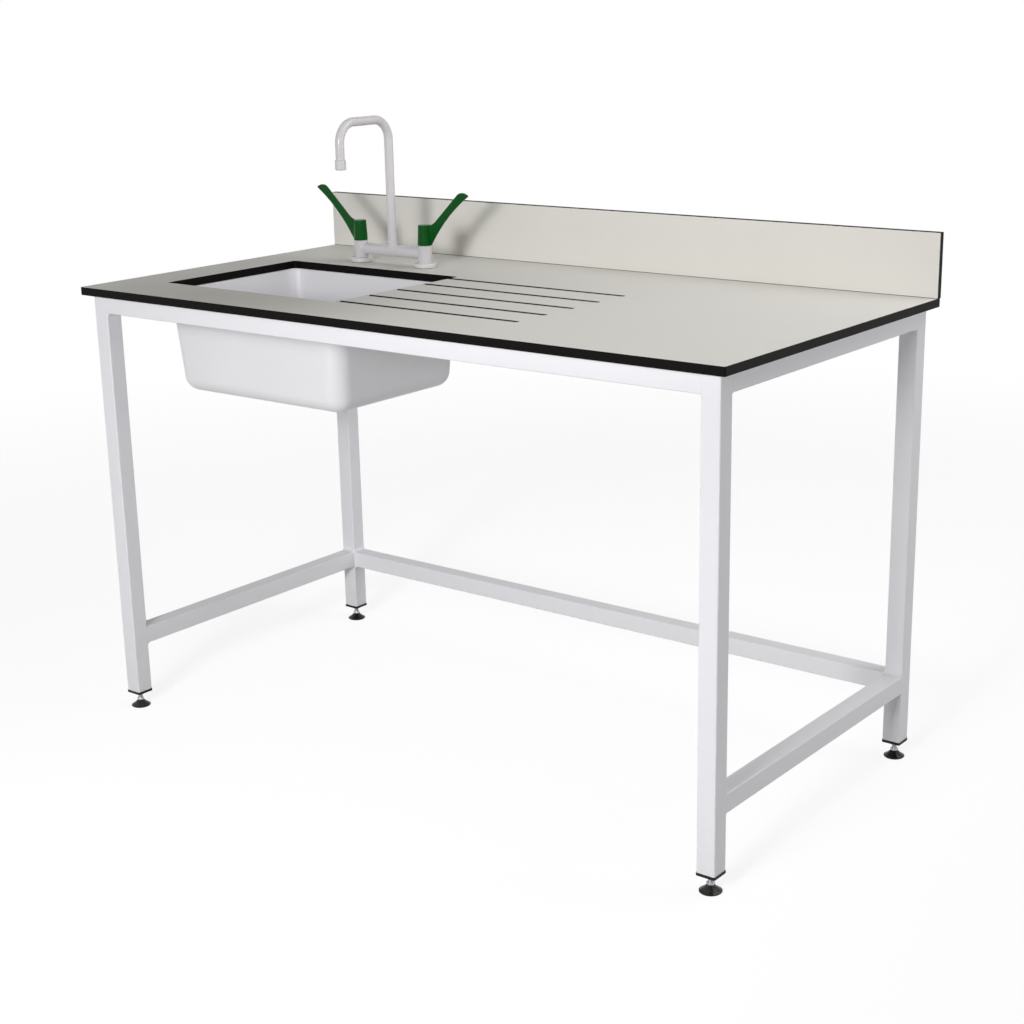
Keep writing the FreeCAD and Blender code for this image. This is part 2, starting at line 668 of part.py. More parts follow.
def make_worktop():
    """Laminate board with its cut-out, sloping round-bottomed grooves and drilled holes."""
    body = new_body("worktop")
    half_x, half_y = "top_length / 2", "top_depth / 2"
    pad(body, rectangle(new_sketch(body, offset="top_under"), half_x, half_y), "top_thick")
    doc.recompute()
    names = upright_edges(body.Shape, value(half_x), value(half_y))
    dress(body, "Fillet", names, Radius="top_corner")
    levels = (value("top_height"), value("top_under"))
    flat = edges_where(body.Shape, lambda point: min(abs(point.z - z) for z in levels) < 1e-4)
    dress(body, "Chamfer", flat, Size="top_arris")

    sketch = new_sketch(body, offset="top_height")
    low_x, high_x = "cut_x - cut_length / 2", "cut_x + cut_length / 2"
    low_y, high_y = "cut_y - cut_width / 2", "cut_y + cut_width / 2"
    radius = "cut_corner"
    outline(sketch, [(low_x + " + cut_corner", low_y), (high_x + " - cut_corner", low_y, radius),
                     (high_x, low_y + " + cut_corner"), (high_x, high_y + " - cut_corner", radius),
                     (high_x + " - cut_corner", high_y), (low_x + " + cut_corner", high_y, radius),
                     (low_x, high_y + " - cut_corner"), (low_x, low_y + " + cut_corner", radius)])
    cut(body, sketch, "top_thick")

    drill(body, pillar_marks(), "inlet_hole", "top_thick")
    drill(body, rail_marks(), "fixing_radius", "fixing_bite")
    drill(body, [mark[:2] for mark in clip_marks()], "clip_screw_radius", "clip_screw_bite")
    drill(body, upstand_marks(), "upstand_screw_radius", "top_thick")
    drill(body, upstand_marks(), "upstand_head_radius", "upstand_head_radius - upstand_screw_radius")
    cut_grooves(body)
    keep(body)


def drill(body, marks, radius, depth):
    """Round holes from the underside of the worktop."""
    sketch = circles(new_sketch(body, offset="top_under"), marks, radius)
    cut(body, sketch, depth, along_normal=True)


def cut_grooves(body):
    """Ball-nosed cutter run along the worktop, deeper towards the basin, in even rows."""
    doc.recompute()
    before = body.Shape.Volume
    fall = "(groove_deep - groove_shallow)"
    sketch = new_sketch(body, "XZ_Plane", "-(groove_y)")
    bind(sketch, AttachmentOffset__Base__x="groove_x + groove_length",
         AttachmentOffset__Base__y="top_height + groove_radius - groove_shallow",
         AttachmentOffset__Rotation__Angle="atan(%s / groove_length)" % fall)
    start = "-(groove_length + 2 * groove_radius)"
    outline(sketch, [(start, "0"), (start, "-groove_radius"), ("0", "-groove_radius", "groove_radius"),
                     ("groove_radius", "0")])
    run = feature(body, "Groove", sketch)
    run.ReferenceAxis = (sketch, ["H_Axis"])
    run.Angle = 360
    rows = body.newObject("PartDesign::LinearPattern", "groove_rows")
    rows.Originals = [run]
    rows.Direction = (next(item for item in body.Origin.OriginFeatures if item.Role == "Y_Axis"), [""])
    rows.Occurrences = GROOVE_COUNT
    bind(rows, Length="groove_pitch * %d" % (GROOVE_COUNT - 1))
    body.Tip = rows
    doc.recompute()
    if body.Shape.Volume >= before:
        raise RuntimeError("the drainer grooves cut nothing")


def make_upstand():
    """Laminate strip standing on the rear edge of the worktop."""
    body = new_body("upstand")
    half = "upstand_thick / 2"
    sketch = rectangle(new_sketch(body), "top_length / 2", half)
    pad(body, sketch, "upstand_height")
    doc.recompute()
    top = value("upstand_height")
    names = edges_where(body.Shape, lambda point: abs(point.z - top) < 1e-4)
    dress(body, "Chamfer", names, Size="top_arris")
    bite = "upstand_screw_length - top_thick"
    holes = circles(new_sketch(body), [(step, "0") for step in spaced("upstand_pitch", UPSTAND_SCREWS)],
                    "upstand_screw_radius")
    cut(body, holes, bite, along_normal=True)
    place(body, y="top_depth / 2 - upstand_thick / 2", z="top_height")
    keep(body)


def make_worktop_screws():
    """Pan-head screws inside the top rails, and countersunk screws into the upstand."""
    pan = new_body("fixing_master")
    turned(pan, [("0", "-tube_wall - fixing_head_height"),
                 ("fixing_head_radius - 1", "-tube_wall - fixing_head_height"),
                 ("fixing_head_radius", "-tube_wall - fixing_head_height + 1"),
                 ("fixing_head_radius", "-tube_wall"),
                 ("fixing_radius", "-tube_wall"),
                 ("fixing_radius", "fixing_bite"),
                 ("0", "fixing_bite")])
    group("worktop_screws", pan, [(x, y, "top_under", UPRIGHT) for x, y in rail_marks()])
    flush = new_body("countersunk_master")
    turned(flush, [("0", "0"), ("upstand_head_radius", "0"),
                   ("upstand_screw_radius", "upstand_head_radius - upstand_screw_radius"),
                   ("upstand_screw_radius", "upstand_screw_length"),
                   ("0", "upstand_screw_length")])
    group("upstand_screws", flush, [(x, y, "top_under", UPRIGHT) for x, y in upstand_marks()])


# ---------------------------------------------------------------------------------------------
# Basin, its silicone, clips and waste
# ---------------------------------------------------------------------------------------------
def rounded(sketch, half_x, half_y, radius):
    """Rectangle with round corners about the sketch's origin."""
    corners = []
    for sign_x, sign_y in (("", "-"), ("", ""), ("-", ""), ("-", "-")):
        on_x = ("%s(%s)" % (sign_x, half_x), "%s((%s) - (%s))" % (sign_y, half_y, radius))
        on_y = ("%s((%s) - (%s))" % (sign_x, half_x, radius), "%s(%s)" % (sign_y, half_y))
        first, last = (on_y, on_x) if sign_x != sign_y else (on_x, on_y)
        corners += [first + (radius,), last]
    return outline(sketch, corners)


def drafted_block(label, half_x, half_y, draw, corner, sweep, floor, top):
    """Block with drafted walls and a swept edge round its floor, narrowing downwards."""
    body = new_body(label)
    mouth = rounded(new_sketch(body, offset=top), half_x, half_y, corner)
    base = rounded(new_sketch(body, offset=floor), "%s - %s" % (half_x, draw),
                   "%s - %s" % (half_y, draw), corner)
    block = feature(body, "AdditiveLoft", mouth)
    block.Sections = [base]
    doc.recompute()
    level = value(floor)
    names = edges_where(body.Shape, lambda point: abs(point.z - level) < 1e-4)
    dress(body, "Fillet", names, Radius=sweep)
    return body


def make_basin():
    """Moulded bowl with drafted walls, a flange round its mouth and a dished outlet."""
    share = "basin_draw * (basin_depth - basin_floor) / basin_depth"
    outside = drafted_block("basin_outside", "(mouth_x + basin_wall)", "(mouth_y + basin_wall)",
                            "basin_draw", "basin_corner", "basin_sweep", "0", "basin_depth")
    flange = rounded(new_sketch(outside, offset="basin_depth - flange_thick"), "flange_x", "flange_y",
                     "basin_corner")
    pad(outside, flange, "flange_thick")
    inside = drafted_block("basin_inside", "mouth_x", "mouth_y", share, "basin_corner - basin_wall",
                           "basin_sweep - basin_wall", "basin_floor", "basin_depth")
    dish = circles(new_sketch(inside, offset="basin_floor"), [("0", "0")], "waste_radius + tail_play")
    pad(inside, dish, "waste_thick + gasket_thick", reverse=True)
    outlet = circles(new_sketch(inside, offset="basin_floor"), [("0", "0")], "tail_radius + tail_play")
    pad(inside, outlet, "basin_floor", reverse=True)
    basin = doc.addObject("Part::Cut", "sink_basin")
    basin.Label = "sink_basin"
    basin.Base = outside
    basin.Tool = inside
    place(basin, "cut_x", "cut_y", "basin_under")
    keep(basin)


def make_seal():
    """Silicone bead between the flange and the worktop."""
    body = new_body("sink_seal")
    sketch = new_sketch(body)
    start = "(basin_wall / 2)"
    rounded(sketch, "mouth_x + %s + seal_width" % start, "mouth_y + %s + seal_width" % start,
            "basin_corner")
    rounded(sketch, "mouth_x + " + start, "mouth_y + " + start, "basin_corner - basin_wall / 2")
    pad(body, sketch, "seal_thick")
    place(body, "cut_x", "cut_y", "flange_top")
    keep(body)


def make_clips():
    """Bent sheet clips that press the flange up, each with one screw into the worktop."""
    clip = new_body("clip_master")
    drop = "(seal_thick + flange_thick + clip_thick)"
    grip_y = "(clip_tail / 2 + clip_grip)"
    sketch = new_sketch(clip, "YZ_Plane", "-clip_width / 2")
    outline(sketch, [("-clip_tail / 2", "-" + drop), (grip_y, "-" + drop),
                     (grip_y, "-%s + clip_thick" % drop),
                     ("-clip_tail / 2 + clip_thick", "-%s + clip_thick" % drop),
                     ("-clip_tail / 2 + clip_thick", "0"), ("-clip_tail / 2", "0")])
    pad(clip, sketch, "clip_width")
    hole = circles(new_sketch(clip, offset="-" + drop), [("0", "0")], "clip_screw_radius + thread_play")
    cut(clip, hole, "clip_thick", along_normal=True)
    places = [(x, y, "top_under", heading) for x, y, heading in clip_marks()]
    group("sink_clips", clip, places)

    screw = new_body("clip_screw_master")
    turned(screw, [("0", "-%s - clip_head_height" % drop),
                   ("clip_head_radius - 1", "-%s - clip_head_height" % drop),
                   ("clip_head_radius", "-%s - clip_head_height + 1" % drop),
                   ("clip_head_radius", "-" + drop),
                   ("clip_screw_radius", "-" + drop),
                   ("clip_screw_radius", "clip_screw_bite"),
                   ("0", "clip_screw_bite")])
    group("sink_clip_screws", screw, places)


def threaded_tail(radius, foot, nut_under, top):
    """Outline corners of a tail's outside: chamfered end, connection, relief, fixing thread."""
    high = "(%s - relief_gap)" % nut_under
    low = "(%s - relief_width)" % high
    return [("%s - 1" % radius, foot), (radius, foot + " + 1"), (radius, low),
            ("%s - relief_depth" % radius, low), ("%s - relief_depth" % radius, high),
            (radius, high), (radius, top)]


def make_waste():
    """Waste flange with its grate and threaded tail, gasket, washer and back nut."""
    body = new_body("waste_flange")
    foot = "(tail_end - waste_seat - gasket_thick)"
    tail = threaded_tail("tail_radius", foot, "(waste_nut_z - waste_seat - gasket_thick)", "0")
    turned(body, [("tail_bore", foot)] + tail + [
        ("waste_radius", "0"), ("waste_radius", "waste_thick / 2"),
        ("waste_radius - waste_thick / 2", "waste_thick"),
        ("tail_bore + waste_thick / 2", "waste_thick"), ("tail_bore", "waste_thick / 2")])
    for role in ("XZ_Plane", "YZ_Plane"):
        bar = new_sketch(body, role, "-grate_bar / 2")
        reach = "tail_bore + 1"
        outline(bar, [("-(%s)" % reach, "-waste_thick"), (reach, "-waste_thick"),
                      (reach, "0"), ("-(%s)" % reach, "0")])
        pad(body, bar, "grate_bar")
    place(body, "cut_x", "cut_y", "waste_seat + gasket_thick")
    keep(body)

    ring("waste_gasket", "tail_radius + thread_play", "waste_radius", "gasket_thick",
         "cut_x", "cut_y", "waste_seat")
    ring("waste_washer", "tail_radius + thread_play", "washer_radius", "washer_thick",
         "cut_x", "cut_y", "basin_under - washer_thick")
    nut = new_body("waste_back_nut")
    turned(nut, [("tail_radius + thread_play", "0"), ("back_nut_radius - back_nut_lug", "0"),
                 ("back_nut_radius - back_nut_lug", "back_nut_height - 3"),
                 ("back_nut_radius", "back_nut_height - 3"), ("back_nut_radius", "back_nut_height"),
                 ("tail_radius + thread_play", "back_nut_height")])
    lug = new_sketch(nut)
    inner = "back_nut_radius - back_nut_lug - 1"
    outline(lug, [(inner, "-2"), ("back_nut_radius - 0.5", "-2"), ("back_nut_radius - 0.5", "2"),
                  (inner, "2")])
    rib = pad(nut, lug, "back_nut_height - 1")
    ribs = nut.newObject("PartDesign::PolarPattern", "back_nut_ribs")
    ribs.Originals = [rib]
    ribs.Axis = (next(item for item in nut.Origin.OriginFeatures if item.Role == "Z_Axis"), [""])
    ribs.Angle = 360
    ribs.Occurrences = 8
    nut.Tip = ribs
    place(nut, "cut_x", "cut_y", "waste_nut_z")
    keep(nut)


def ring(label, inner, outer, height, x, y, z):
    """Flat ring."""
    body = new_body(label)
    turned(body, [(inner, "0"), (outer, "0"), (outer, height), (inner, height)])
    place(body, x, y, z)
    return keep(body)


# ---------------------------------------------------------------------------------------------
# Tap: bridge body, valves, levers, swan neck and the fixings under the worktop
# ---------------------------------------------------------------------------------------------
SIDES = {"left": "-", "right": ""}


def pillar_x(side):
    """X of one pillar's axis."""
    return "tap_x + %s(pillar_pitch / 2)" % SIDES[side]


def saddle_edges(shape):
    """Names of the saddle-shaped edges where the bridge meets the pillars."""
    outer = value("pillar_pitch / 4")
    return ["Edge%d" % index for index, edge in enumerate(shape.Edges, 1)
            if edge.Curve.TypeId == "Part::GeomBSplineCurve" and abs(edge.CenterOfMass.x) > outer]


def make_tap_body():
    """Coated casting: two pillars, the bridge between them and the spout socket on it."""
    body = new_body("tap_body")
    height = "(pillar_top - pillar_foot)"
    sketch = new_sketch(body)
    circles(sketch, [(step, "0") for step in spaced("pillar_pitch", 2)], "pillar_radius")
    pad(body, sketch, height)
    bridge = new_sketch(body, "YZ_Plane", "-pillar_pitch / 2")
    circles(bridge, [("0", "bridge_z - pillar_foot")], "bridge_radius")
    pad(body, bridge, "pillar_pitch")
    socket = circles(new_sketch(body, offset="bridge_z - pillar_foot"), [("0", "0")], "socket_radius")
    pad(body, socket, "socket_top - bridge_z")
    doc.recompute()
    dress(body, "Fillet", saddle_edges(body.Shape), Radius="bridge_blend")
    top = value(height)
    names = edges_where(body.Shape, lambda point: abs(point.z - top) < 1e-4)
    dress(body, "Chamfer", names, Size="cap_gap * 2")
    bore = circles(new_sketch(body, offset="socket_top - pillar_foot"), [("0", "0")],
                   "spigot_radius + turn_play")
    cut(body, bore, "socket_depth")
    marks = [(step, "0") for step in spaced("pillar_pitch", 2)]
    seats = circles(new_sketch(body, offset=height), marks, "valve_radius + valve_play")
    cut(body, seats, "valve_depth")
    necks = circles(new_sketch(body), marks, "inlet_neck + valve_play")
    cut(body, necks, "inlet_neck_length", along_normal=True)
    place(body, "tap_x", "tap_y", "pillar_foot")
    keep(body)


def make_rose(side):
    """Round flange that a pillar stands in."""
    body = new_body("tap_flange_" + side)
    bore = "pillar_radius + rose_play"
    turned(body, [(bore, "0"), ("rose_radius", "0"), ("rose_radius", "rose_rim", "rose_height - rose_rim"),
                  ("rose_radius - (rose_height - rose_rim)", "rose_height"), (bore, "rose_height")])
    place(body, pillar_x(side), "tap_y", "pillar_foot")
    keep(body)


def make_valve(side):
    """Brass cartridge in a pillar and the spindle that its lever turns."""
    valve = new_body("valve_cartridge_" + side)
    reach = "(spindle_radius + turn_play)"
    full = "(valve_depth + valve_stand)"
    seat = "(valve_depth - spindle_depth)"
    turned(valve, [("0", "0"), ("valve_radius", "0"), ("valve_radius", full + " - 2"),
                   ("valve_radius - 2", full), (reach, full), (reach, seat), ("0", seat)])
    place(valve, pillar_x(side), "tap_y", "valve_foot")
    keep(valve)
    spindle = new_body("valve_spindle_" + side)
    length = "(spindle_top - spindle_foot - cap_gap)"
    turned(spindle, [("0", "0"), ("spindle_radius", "0"), ("spindle_radius", length), ("0", length)])
    place(spindle, pillar_x(side), "tap_y", "spindle_foot + cap_gap")
    keep(spindle)


def across_edges(shape, spots):
    """Names of the edges along Y that pass the given (x, z) spots."""
    return [name for x, z in spots
            for name in edges_where(shape, lambda point: math.hypot(point.x - x, point.z - z) < 1e-3)]


def make_blade(body, out):
    """Paddle blade: narrow in the middle, swept lower edge, round nose; "out" is its sign in X."""
    root = "(cap_cavity + 0.7)"
    foot = (out + "blade_foot_x", "blade_foot_z")
    toe = (out + "blade_toe_x", "blade_toe_z")
    peak = (out + "blade_peak_x", "blade_peak_z")
    neck = (out + "blade_neck_x", "cap_height + blade_neck_rise")
    sketch = new_sketch(body, "XZ_Plane", "-blade_thick / 2")
    sweep = "blade_sweep" if out else "-blade_sweep"
    outline(sketch, [(out + root, "blade_foot_z"), foot + (sweep,), toe, peak, neck,
                     (out + root, "cap_height - blade_root_drop")])
    pad(body, sketch, "blade_thick")
    doc.recompute()
    for corner, radius in ((foot, "blade_foot_round"), (toe, "blade_toe_round"),
                           (peak, "blade_peak_round"), (neck, "blade_neck_round")):
        names = across_edges(body.Shape, [(value(corner[0]), value(corner[1]))])
        dress(body, "Fillet", names, Radius=radius)
    half = value("blade_thick / 2")
    limit = value(root)
    names = []
    for index, edge in enumerate(body.Shape.Edges, 1):
        middle = edge.CenterOfMass
        if abs(abs(middle.y) - half) < 1e-3 and abs(middle.x) > limit + 0.01:
            names.append("Edge%d" % index)
    dress(body, "Fillet", names, Radius="blade_round")


def make_lever(side):
    """Elbow lever: paddle blade that leans outwards from a tapered cap over the valve."""
    body = new_body("lever_" + side)
    make_blade(body, "-" if side == "left" else "")
    turned(body, [("0", "0"), ("cap_foot_radius - 0.5", "0"), ("cap_foot_radius", "0.5"),
                  ("cap_top_radius", "cap_height - cap_round", "cap_round"),
                  ("cap_top_radius - cap_round", "cap_height"), ("0", "cap_height")])
    turned(body, [("0", "-1"), ("cap_cavity", "-1"), ("cap_cavity", "cap_cavity_height"),
                  ("spindle_radius + turn_play", "cap_cavity_height"),
                  ("spindle_radius + turn_play", "cap_height - cap_crown"),
                  ("0", "cap_height - cap_crown")], kind="Groove")
    grub = circles(new_sketch(body, "YZ_Plane"), [("0", "grub_height")], "grub_radius")
    cut(body, grub, "cap_foot_radius", along_normal=side == "left")
    place(body, pillar_x(side), "tap_y", "cap_foot")
    keep(body)

    screw = new_body("lever_screw_" + side)
    start = "(spindle_radius + turn_play)"
    sketch = new_sketch(screw, "YZ_Plane", start if side == "left" else "-%s - grub_length" % start)
    circles(sketch, [("0", "0")], "grub_radius - turn_play")
    pad(screw, sketch, "grub_length")
    place(screw, pillar_x(side), "tap_y", "cap_foot + grub_height")
    keep(screw)


def make_spout():
    """Swan neck: riser, two bends and an outlet leg, hollow, on a grooved turning spigot."""
    body = new_body("spout_tube")
    top = "(neck_z - socket_top)"
    down = "(outlet_z + outlet_length - outlet_socket - socket_top)"
    path = new_sketch(body, "YZ_Plane")
    outline(path, [("0", "cap_gap"), ("0", top + " - spout_bend", "spout_bend"),
                   ("-spout_bend", top), ("-(spout_reach - spout_bend)", top, "spout_bend"),
                   ("-spout_reach", top + " - spout_bend"), ("-spout_reach", down)], closed=False)
    section = circles(new_sketch(body, offset="cap_gap"), [("0", "0")], "spout_radius")
    tube = feature(body, "AdditivePipe", section)
    tube.Spine = (path, ["Edge%d" % index for index in range(1, 6)])
    doc.recompute()
    depth = "(socket_depth - cap_gap)"
    spigot = [("0", "-" + depth), ("spigot_radius", "-" + depth)]
    floor = "spigot_radius - 2 * ring_section"
    for index in (0, 1):
        middle = "(-%s + ring_pitch * %g)" % (depth, index + 0.6)
        spigot += [("spigot_radius", middle + " - ring_section"), (floor, middle + " - ring_section"),
                   (floor, middle + " + ring_section"), ("spigot_radius", middle + " + ring_section")]
    spigot += [("spigot_radius", "cap_gap"), ("0", "cap_gap")]
    turned(body, spigot)
    way = circles(new_sketch(body, offset="-" + depth), [("0", "0")], floor + " - 1")
    cut(body, way, depth + " + cap_gap", along_normal=True)
    bore = circles(new_sketch(body, offset="cap_gap"), [("0", "0")], "spout_bore")
    hollow = feature(body, "SubtractivePipe", bore)
    hollow.Spine = (path, ["Edge%d" % index for index in range(1, 6)])
    doc.recompute()
    place(body, "tap_x", "tap_y", "socket_top")
    keep(body)

    oring = new_body("oring_master")
    section = circles(new_sketch(oring, "XZ_Plane"), [("spigot_radius - ring_section", "0")],
                      "ring_section * 0.98")
    torus = feature(oring, "Revolution", section)
    torus.ReferenceAxis = (section, ["V_Axis"])
    torus.Angle = 360
    places = [("tap_x", "tap_y", "socket_top - %s + ring_pitch * %g" % (depth, index + 0.6), UPRIGHT)
              for index in (0, 1)]
    group("spout_orings", oring, places)

    collar = new_body("spout_collar_nut")
    bore = "spout_radius + spout_gap"
    turned(collar, [(bore, "0"), ("socket_radius + 0.4", "0"),
                    ("socket_radius + 0.4", "collar_height - 1"),
                    ("socket_radius - 0.6", "collar_height"), (bore, "collar_height")])
    place(collar, "tap_x", "tap_y", "socket_top")
    keep(collar)

    outlet = new_body("spout_outlet")
    socket = "spout_radius + turn_play"
    turned(outlet, [("outlet_bore", "0"), ("outlet_radius - 1.5", "0"), ("outlet_radius", "1.5"),
                    ("outlet_radius", "outlet_length - 0.8"), ("outlet_radius - 0.8", "outlet_length"),
                    (socket, "outlet_length"), (socket, "outlet_length - outlet_socket"),
                    ("outlet_bore", "outlet_length - outlet_socket")])
    place(outlet, "tap_x", "tap_y - spout_reach", "outlet_z")
    keep(outlet)


def make_inlets():
    """Threaded tails through the worktop with their gaskets, washers and back nuts."""
    for side in SIDES:
        tail = new_body("inlet_tail_" + side)
        foot = "-(tap_gasket + top_thick + inlet_drop)"
        thread = threaded_tail("inlet_radius", foot, "(inlet_nut_z - pillar_foot)", "0")
        turned(tail, [("inlet_bore", foot)] + thread + [
            ("inlet_neck", "0"), ("inlet_neck", "inlet_neck_length"),
            ("inlet_bore", "inlet_neck_length")])
        place(tail, pillar_x(side), "tap_y", "pillar_foot")
        keep(tail)
    gasket = new_body("tap_gasket_master")
    turned(gasket, [("inlet_radius + thread_play", "0"), ("rose_radius - 1", "0"),
                    ("rose_radius - 1", "tap_gasket"), ("inlet_radius + thread_play", "tap_gasket")])
    washer = new_body("tap_washer_master")
    turned(washer, [("inlet_radius + thread_play", "0"), ("inlet_washer", "0"),
                    ("inlet_washer", "washer_thick"), ("inlet_radius + thread_play", "washer_thick")])
    nut = new_body("tap_nut_master")
    pad(nut, hexagon(new_sketch(nut), "inlet_nut_flats"), "inlet_nut_height")
    hole = circles(new_sketch(nut), [("0", "0")], "inlet_radius + thread_play")
    cut(nut, hole, "inlet_nut_height", along_normal=True)
    for label, master, z in (("tap_gaskets", gasket, "top_height"),
                             ("tap_washers", washer, "top_under - washer_thick"),
                             ("tap_back_nuts", nut, "inlet_nut_z")):
        group(label, master, [(x, y, z, UPRIGHT) for x, y in pillar_marks()])


def make_tap():
    """The whole tap."""
    make_tap_body()
    for side in SIDES:
        make_rose(side)
        make_valve(side)
        make_lever(side)
    make_spout()
    make_inlets()


# ---------------------------------------------------------------------------------------------
# Build, check and write
# ---------------------------------------------------------------------------------------------
def write_parts():
    """Check every object and every piece, then write one STEP file for each piece."""
    doc.recompute()
    for item in doc.Objects:
        if "Invalid" in item.State or "Error" in item.State:
            raise RuntimeError("%s is not built: %s" % (item.Label, item.State))
    for part in PARTS:
        if part.Shape.isNull() or not part.Shape.isValid() or not part.Shape.Solids:
            raise RuntimeError(part.Label + " has no valid shape")
    os.makedirs("parts", exist_ok=True)
    for part in PARTS:
        part.Shape.exportStep("parts/%s.step" % part.Label)
    print("%d pieces, %d solids" % (len(PARTS), sum(len(part.Shape.Solids) for part in PARTS)))


make_stand()
make_feet()
make_worktop()
make_upstand()
make_worktop_screws()
make_basin()
make_seal()
make_clips()
make_waste()
make_tap()
write_parts()
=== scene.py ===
"""Laboratory sink unit: the finishes, threads, screws and welds of the bench, and its studio."""
import math

import bmesh
import bpy
from mathutils import Matrix, Vector


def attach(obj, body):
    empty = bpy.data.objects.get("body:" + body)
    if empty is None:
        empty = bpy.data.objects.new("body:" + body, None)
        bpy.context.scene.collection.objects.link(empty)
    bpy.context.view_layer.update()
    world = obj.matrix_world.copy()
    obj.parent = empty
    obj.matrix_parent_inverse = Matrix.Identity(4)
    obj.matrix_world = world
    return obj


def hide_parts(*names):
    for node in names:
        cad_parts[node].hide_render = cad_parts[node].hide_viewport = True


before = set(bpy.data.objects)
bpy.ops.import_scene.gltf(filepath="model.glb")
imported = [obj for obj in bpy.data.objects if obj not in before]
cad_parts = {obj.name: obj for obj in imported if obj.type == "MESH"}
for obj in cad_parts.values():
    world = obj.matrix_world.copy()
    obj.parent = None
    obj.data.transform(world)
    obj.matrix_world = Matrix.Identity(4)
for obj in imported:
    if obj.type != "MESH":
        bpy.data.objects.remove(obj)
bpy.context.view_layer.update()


# ------------------------------------------------------------------------------------------
# Studio: a white paper sweep under the bench, softboxes in front, low down, at the right and
# on a boom, a bank above the rear right corner, and a camera on its stand at the front right.
# ------------------------------------------------------------------------------------------
def paint(red, green, blue):
    """Linear colour of a paint swatch given in screen values."""
    swatch = [value / 255 for value in (red, green, blue)]
    return tuple(v / 12.92 if v <= 0.04045 else ((v + 0.055) / 1.055) ** 2.4 for v in swatch) + (1,)


def put(tree, kind, inputs, **settings):
    """Add a node: settings are its properties, inputs are values or sockets to join."""
    item = tree.nodes.new(kind)
    for name, content in settings.items():
        setattr(item, name, content)
    for name, content in inputs.items():
        if isinstance(content, bpy.types.NodeSocket):
            tree.links.new(content, item.inputs[name])
        else:
            item.inputs[name].default_value = content
    return item


def reckon(tree, rule, first, second=0.0):
    """A sum of two numbers, by the rule that is named."""
    return put(tree, "ShaderNodeMath", {0: first, 1: second}, operation=rule).outputs[0]


def ray_to_picture(tree):
    """1 for the rays that show the studio itself: straight, mirrored or through glass."""
    ray = put(tree, "ShaderNodeLightPath", {}).outputs
    direct = reckon(tree, "MAXIMUM", ray["Is Camera Ray"], ray["Is Glossy Ray"])
    return reckon(tree, "MAXIMUM", direct, ray["Is Transmission Ray"])


def own_place(tree):
    """Where a point lies, in its own piece's measure."""
    return put(tree, "ShaderNodeTexCoord", {}).outputs["Object"]


def sweep_paper():
    """White paper that keeps the shadow of the bench and fades into the white room."""
    paper = bpy.data.materials.new("sweep_paper")
    paper.use_nodes = True
    tree = paper.node_tree
    tree.nodes.clear()
    share = reckon(tree, "MULTIPLY", ray_to_picture(tree), 0.76)
    matt = put(tree, "ShaderNodeBsdfDiffuse", {"Color": paint(212, 212, 212), "Roughness": 1.0})
    glow = put(tree, "ShaderNodeEmission", {"Color": (1, 1, 1, 1), "Strength": 1.12})
    white = put(tree, "ShaderNodeMixShader", {0: share, 1: matt.outputs[0], 2: glow.outputs[0]})
    spot = own_place(tree)
    away = put(tree, "ShaderNodeVectorMath", {0: spot}, operation="LENGTH").outputs["Value"]
    fade = put(tree, "ShaderNodeMapRange", {"Value": away, "From Min": 1.6, "From Max": 4.2},
               interpolation_type="SMOOTHSTEP")
    clear = put(tree, "ShaderNodeBsdfTransparent", {})
    whole = put(tree, "ShaderNodeMixShader", {0: fade.outputs[0], 1: white.outputs[0],
                                              2: clear.outputs[0]})
    put(tree, "ShaderNodeOutputMaterial", {"Surface": whole.outputs[0]})
    return paper


sweep = bpy.data.meshes.new("sweep")
sweep.from_pydata([(-5, -5, 0), (5, -5, 0), (5, 5, 0), (-5, 5, 0)], [], [(0, 1, 2, 3)])
sweep.materials.append(sweep_paper())
floor = bpy.data.objects.new("sweep", sweep)
bpy.context.scene.collection.objects.link(floor)

room = bpy.data.worlds.new("white_room")
room.use_nodes = True
room.node_tree.nodes.clear()
walls = put(room.node_tree, "ShaderNodeMapRange", {"Value": ray_to_picture(room.node_tree),
                                                   "To Min": 0.2, "To Max": 1.0})
walls = put(room.node_tree, "ShaderNodeBackground", {"Strength": walls.outputs[0],
                                                     "Color": (1, 1, 1, 1)})
put(room.node_tree, "ShaderNodeOutputWorld", {"Surface": walls.outputs[0]})
bpy.context.scene.world = room


def hang_softbox(name, place, aim, width, height, watts, grid=180):
    """Hang one softbox, turn its face to a spot and narrow it with a grid, in degrees."""
    lamp = bpy.data.lights.new(name, "AREA")
    lamp.shape = "RECTANGLE"
    lamp.size, lamp.size_y, lamp.energy, lamp.spread = width, height, watts, math.radians(grid)
    box = bpy.data.objects.new(name, lamp)
    facing = (Vector(place) - Vector(aim)).to_track_quat("Z", "Y")
    box.matrix_world = Matrix.Translation(place) @ facing.to_matrix().to_4x4()
    bpy.context.scene.collection.objects.link(box)


hang_softbox("near_softbox", (0.55, -2.7, 1.5), (-0.3, 0, 0.7), 0.9, 0.9, 24)
hang_softbox("far_softbox", (0.93, -4.05, 1.83), (0, 0.3, 0.96), 0.65, 0.65, 54)
hang_softbox("rear_bank", (1.45, 1.15, 2.5), (0.15, 0.05, 0.9), 2.2, 1.4, 14)
hang_softbox("side_softbox", (3.2, 1.6, 1.3), (0.6, 0.1, 0.5), 1.2, 1.2, 20)
hang_softbox("boom_softbox", (0.9, 0.5, 2.3), (0.3, 0.2, 0.9), 1.2, 0.6, 6)
hang_softbox("low_softbox", (0.25, -2.6, 0.4), (-0.15, 0.3, 0.12), 1.3, 0.5, 1.9, 60)

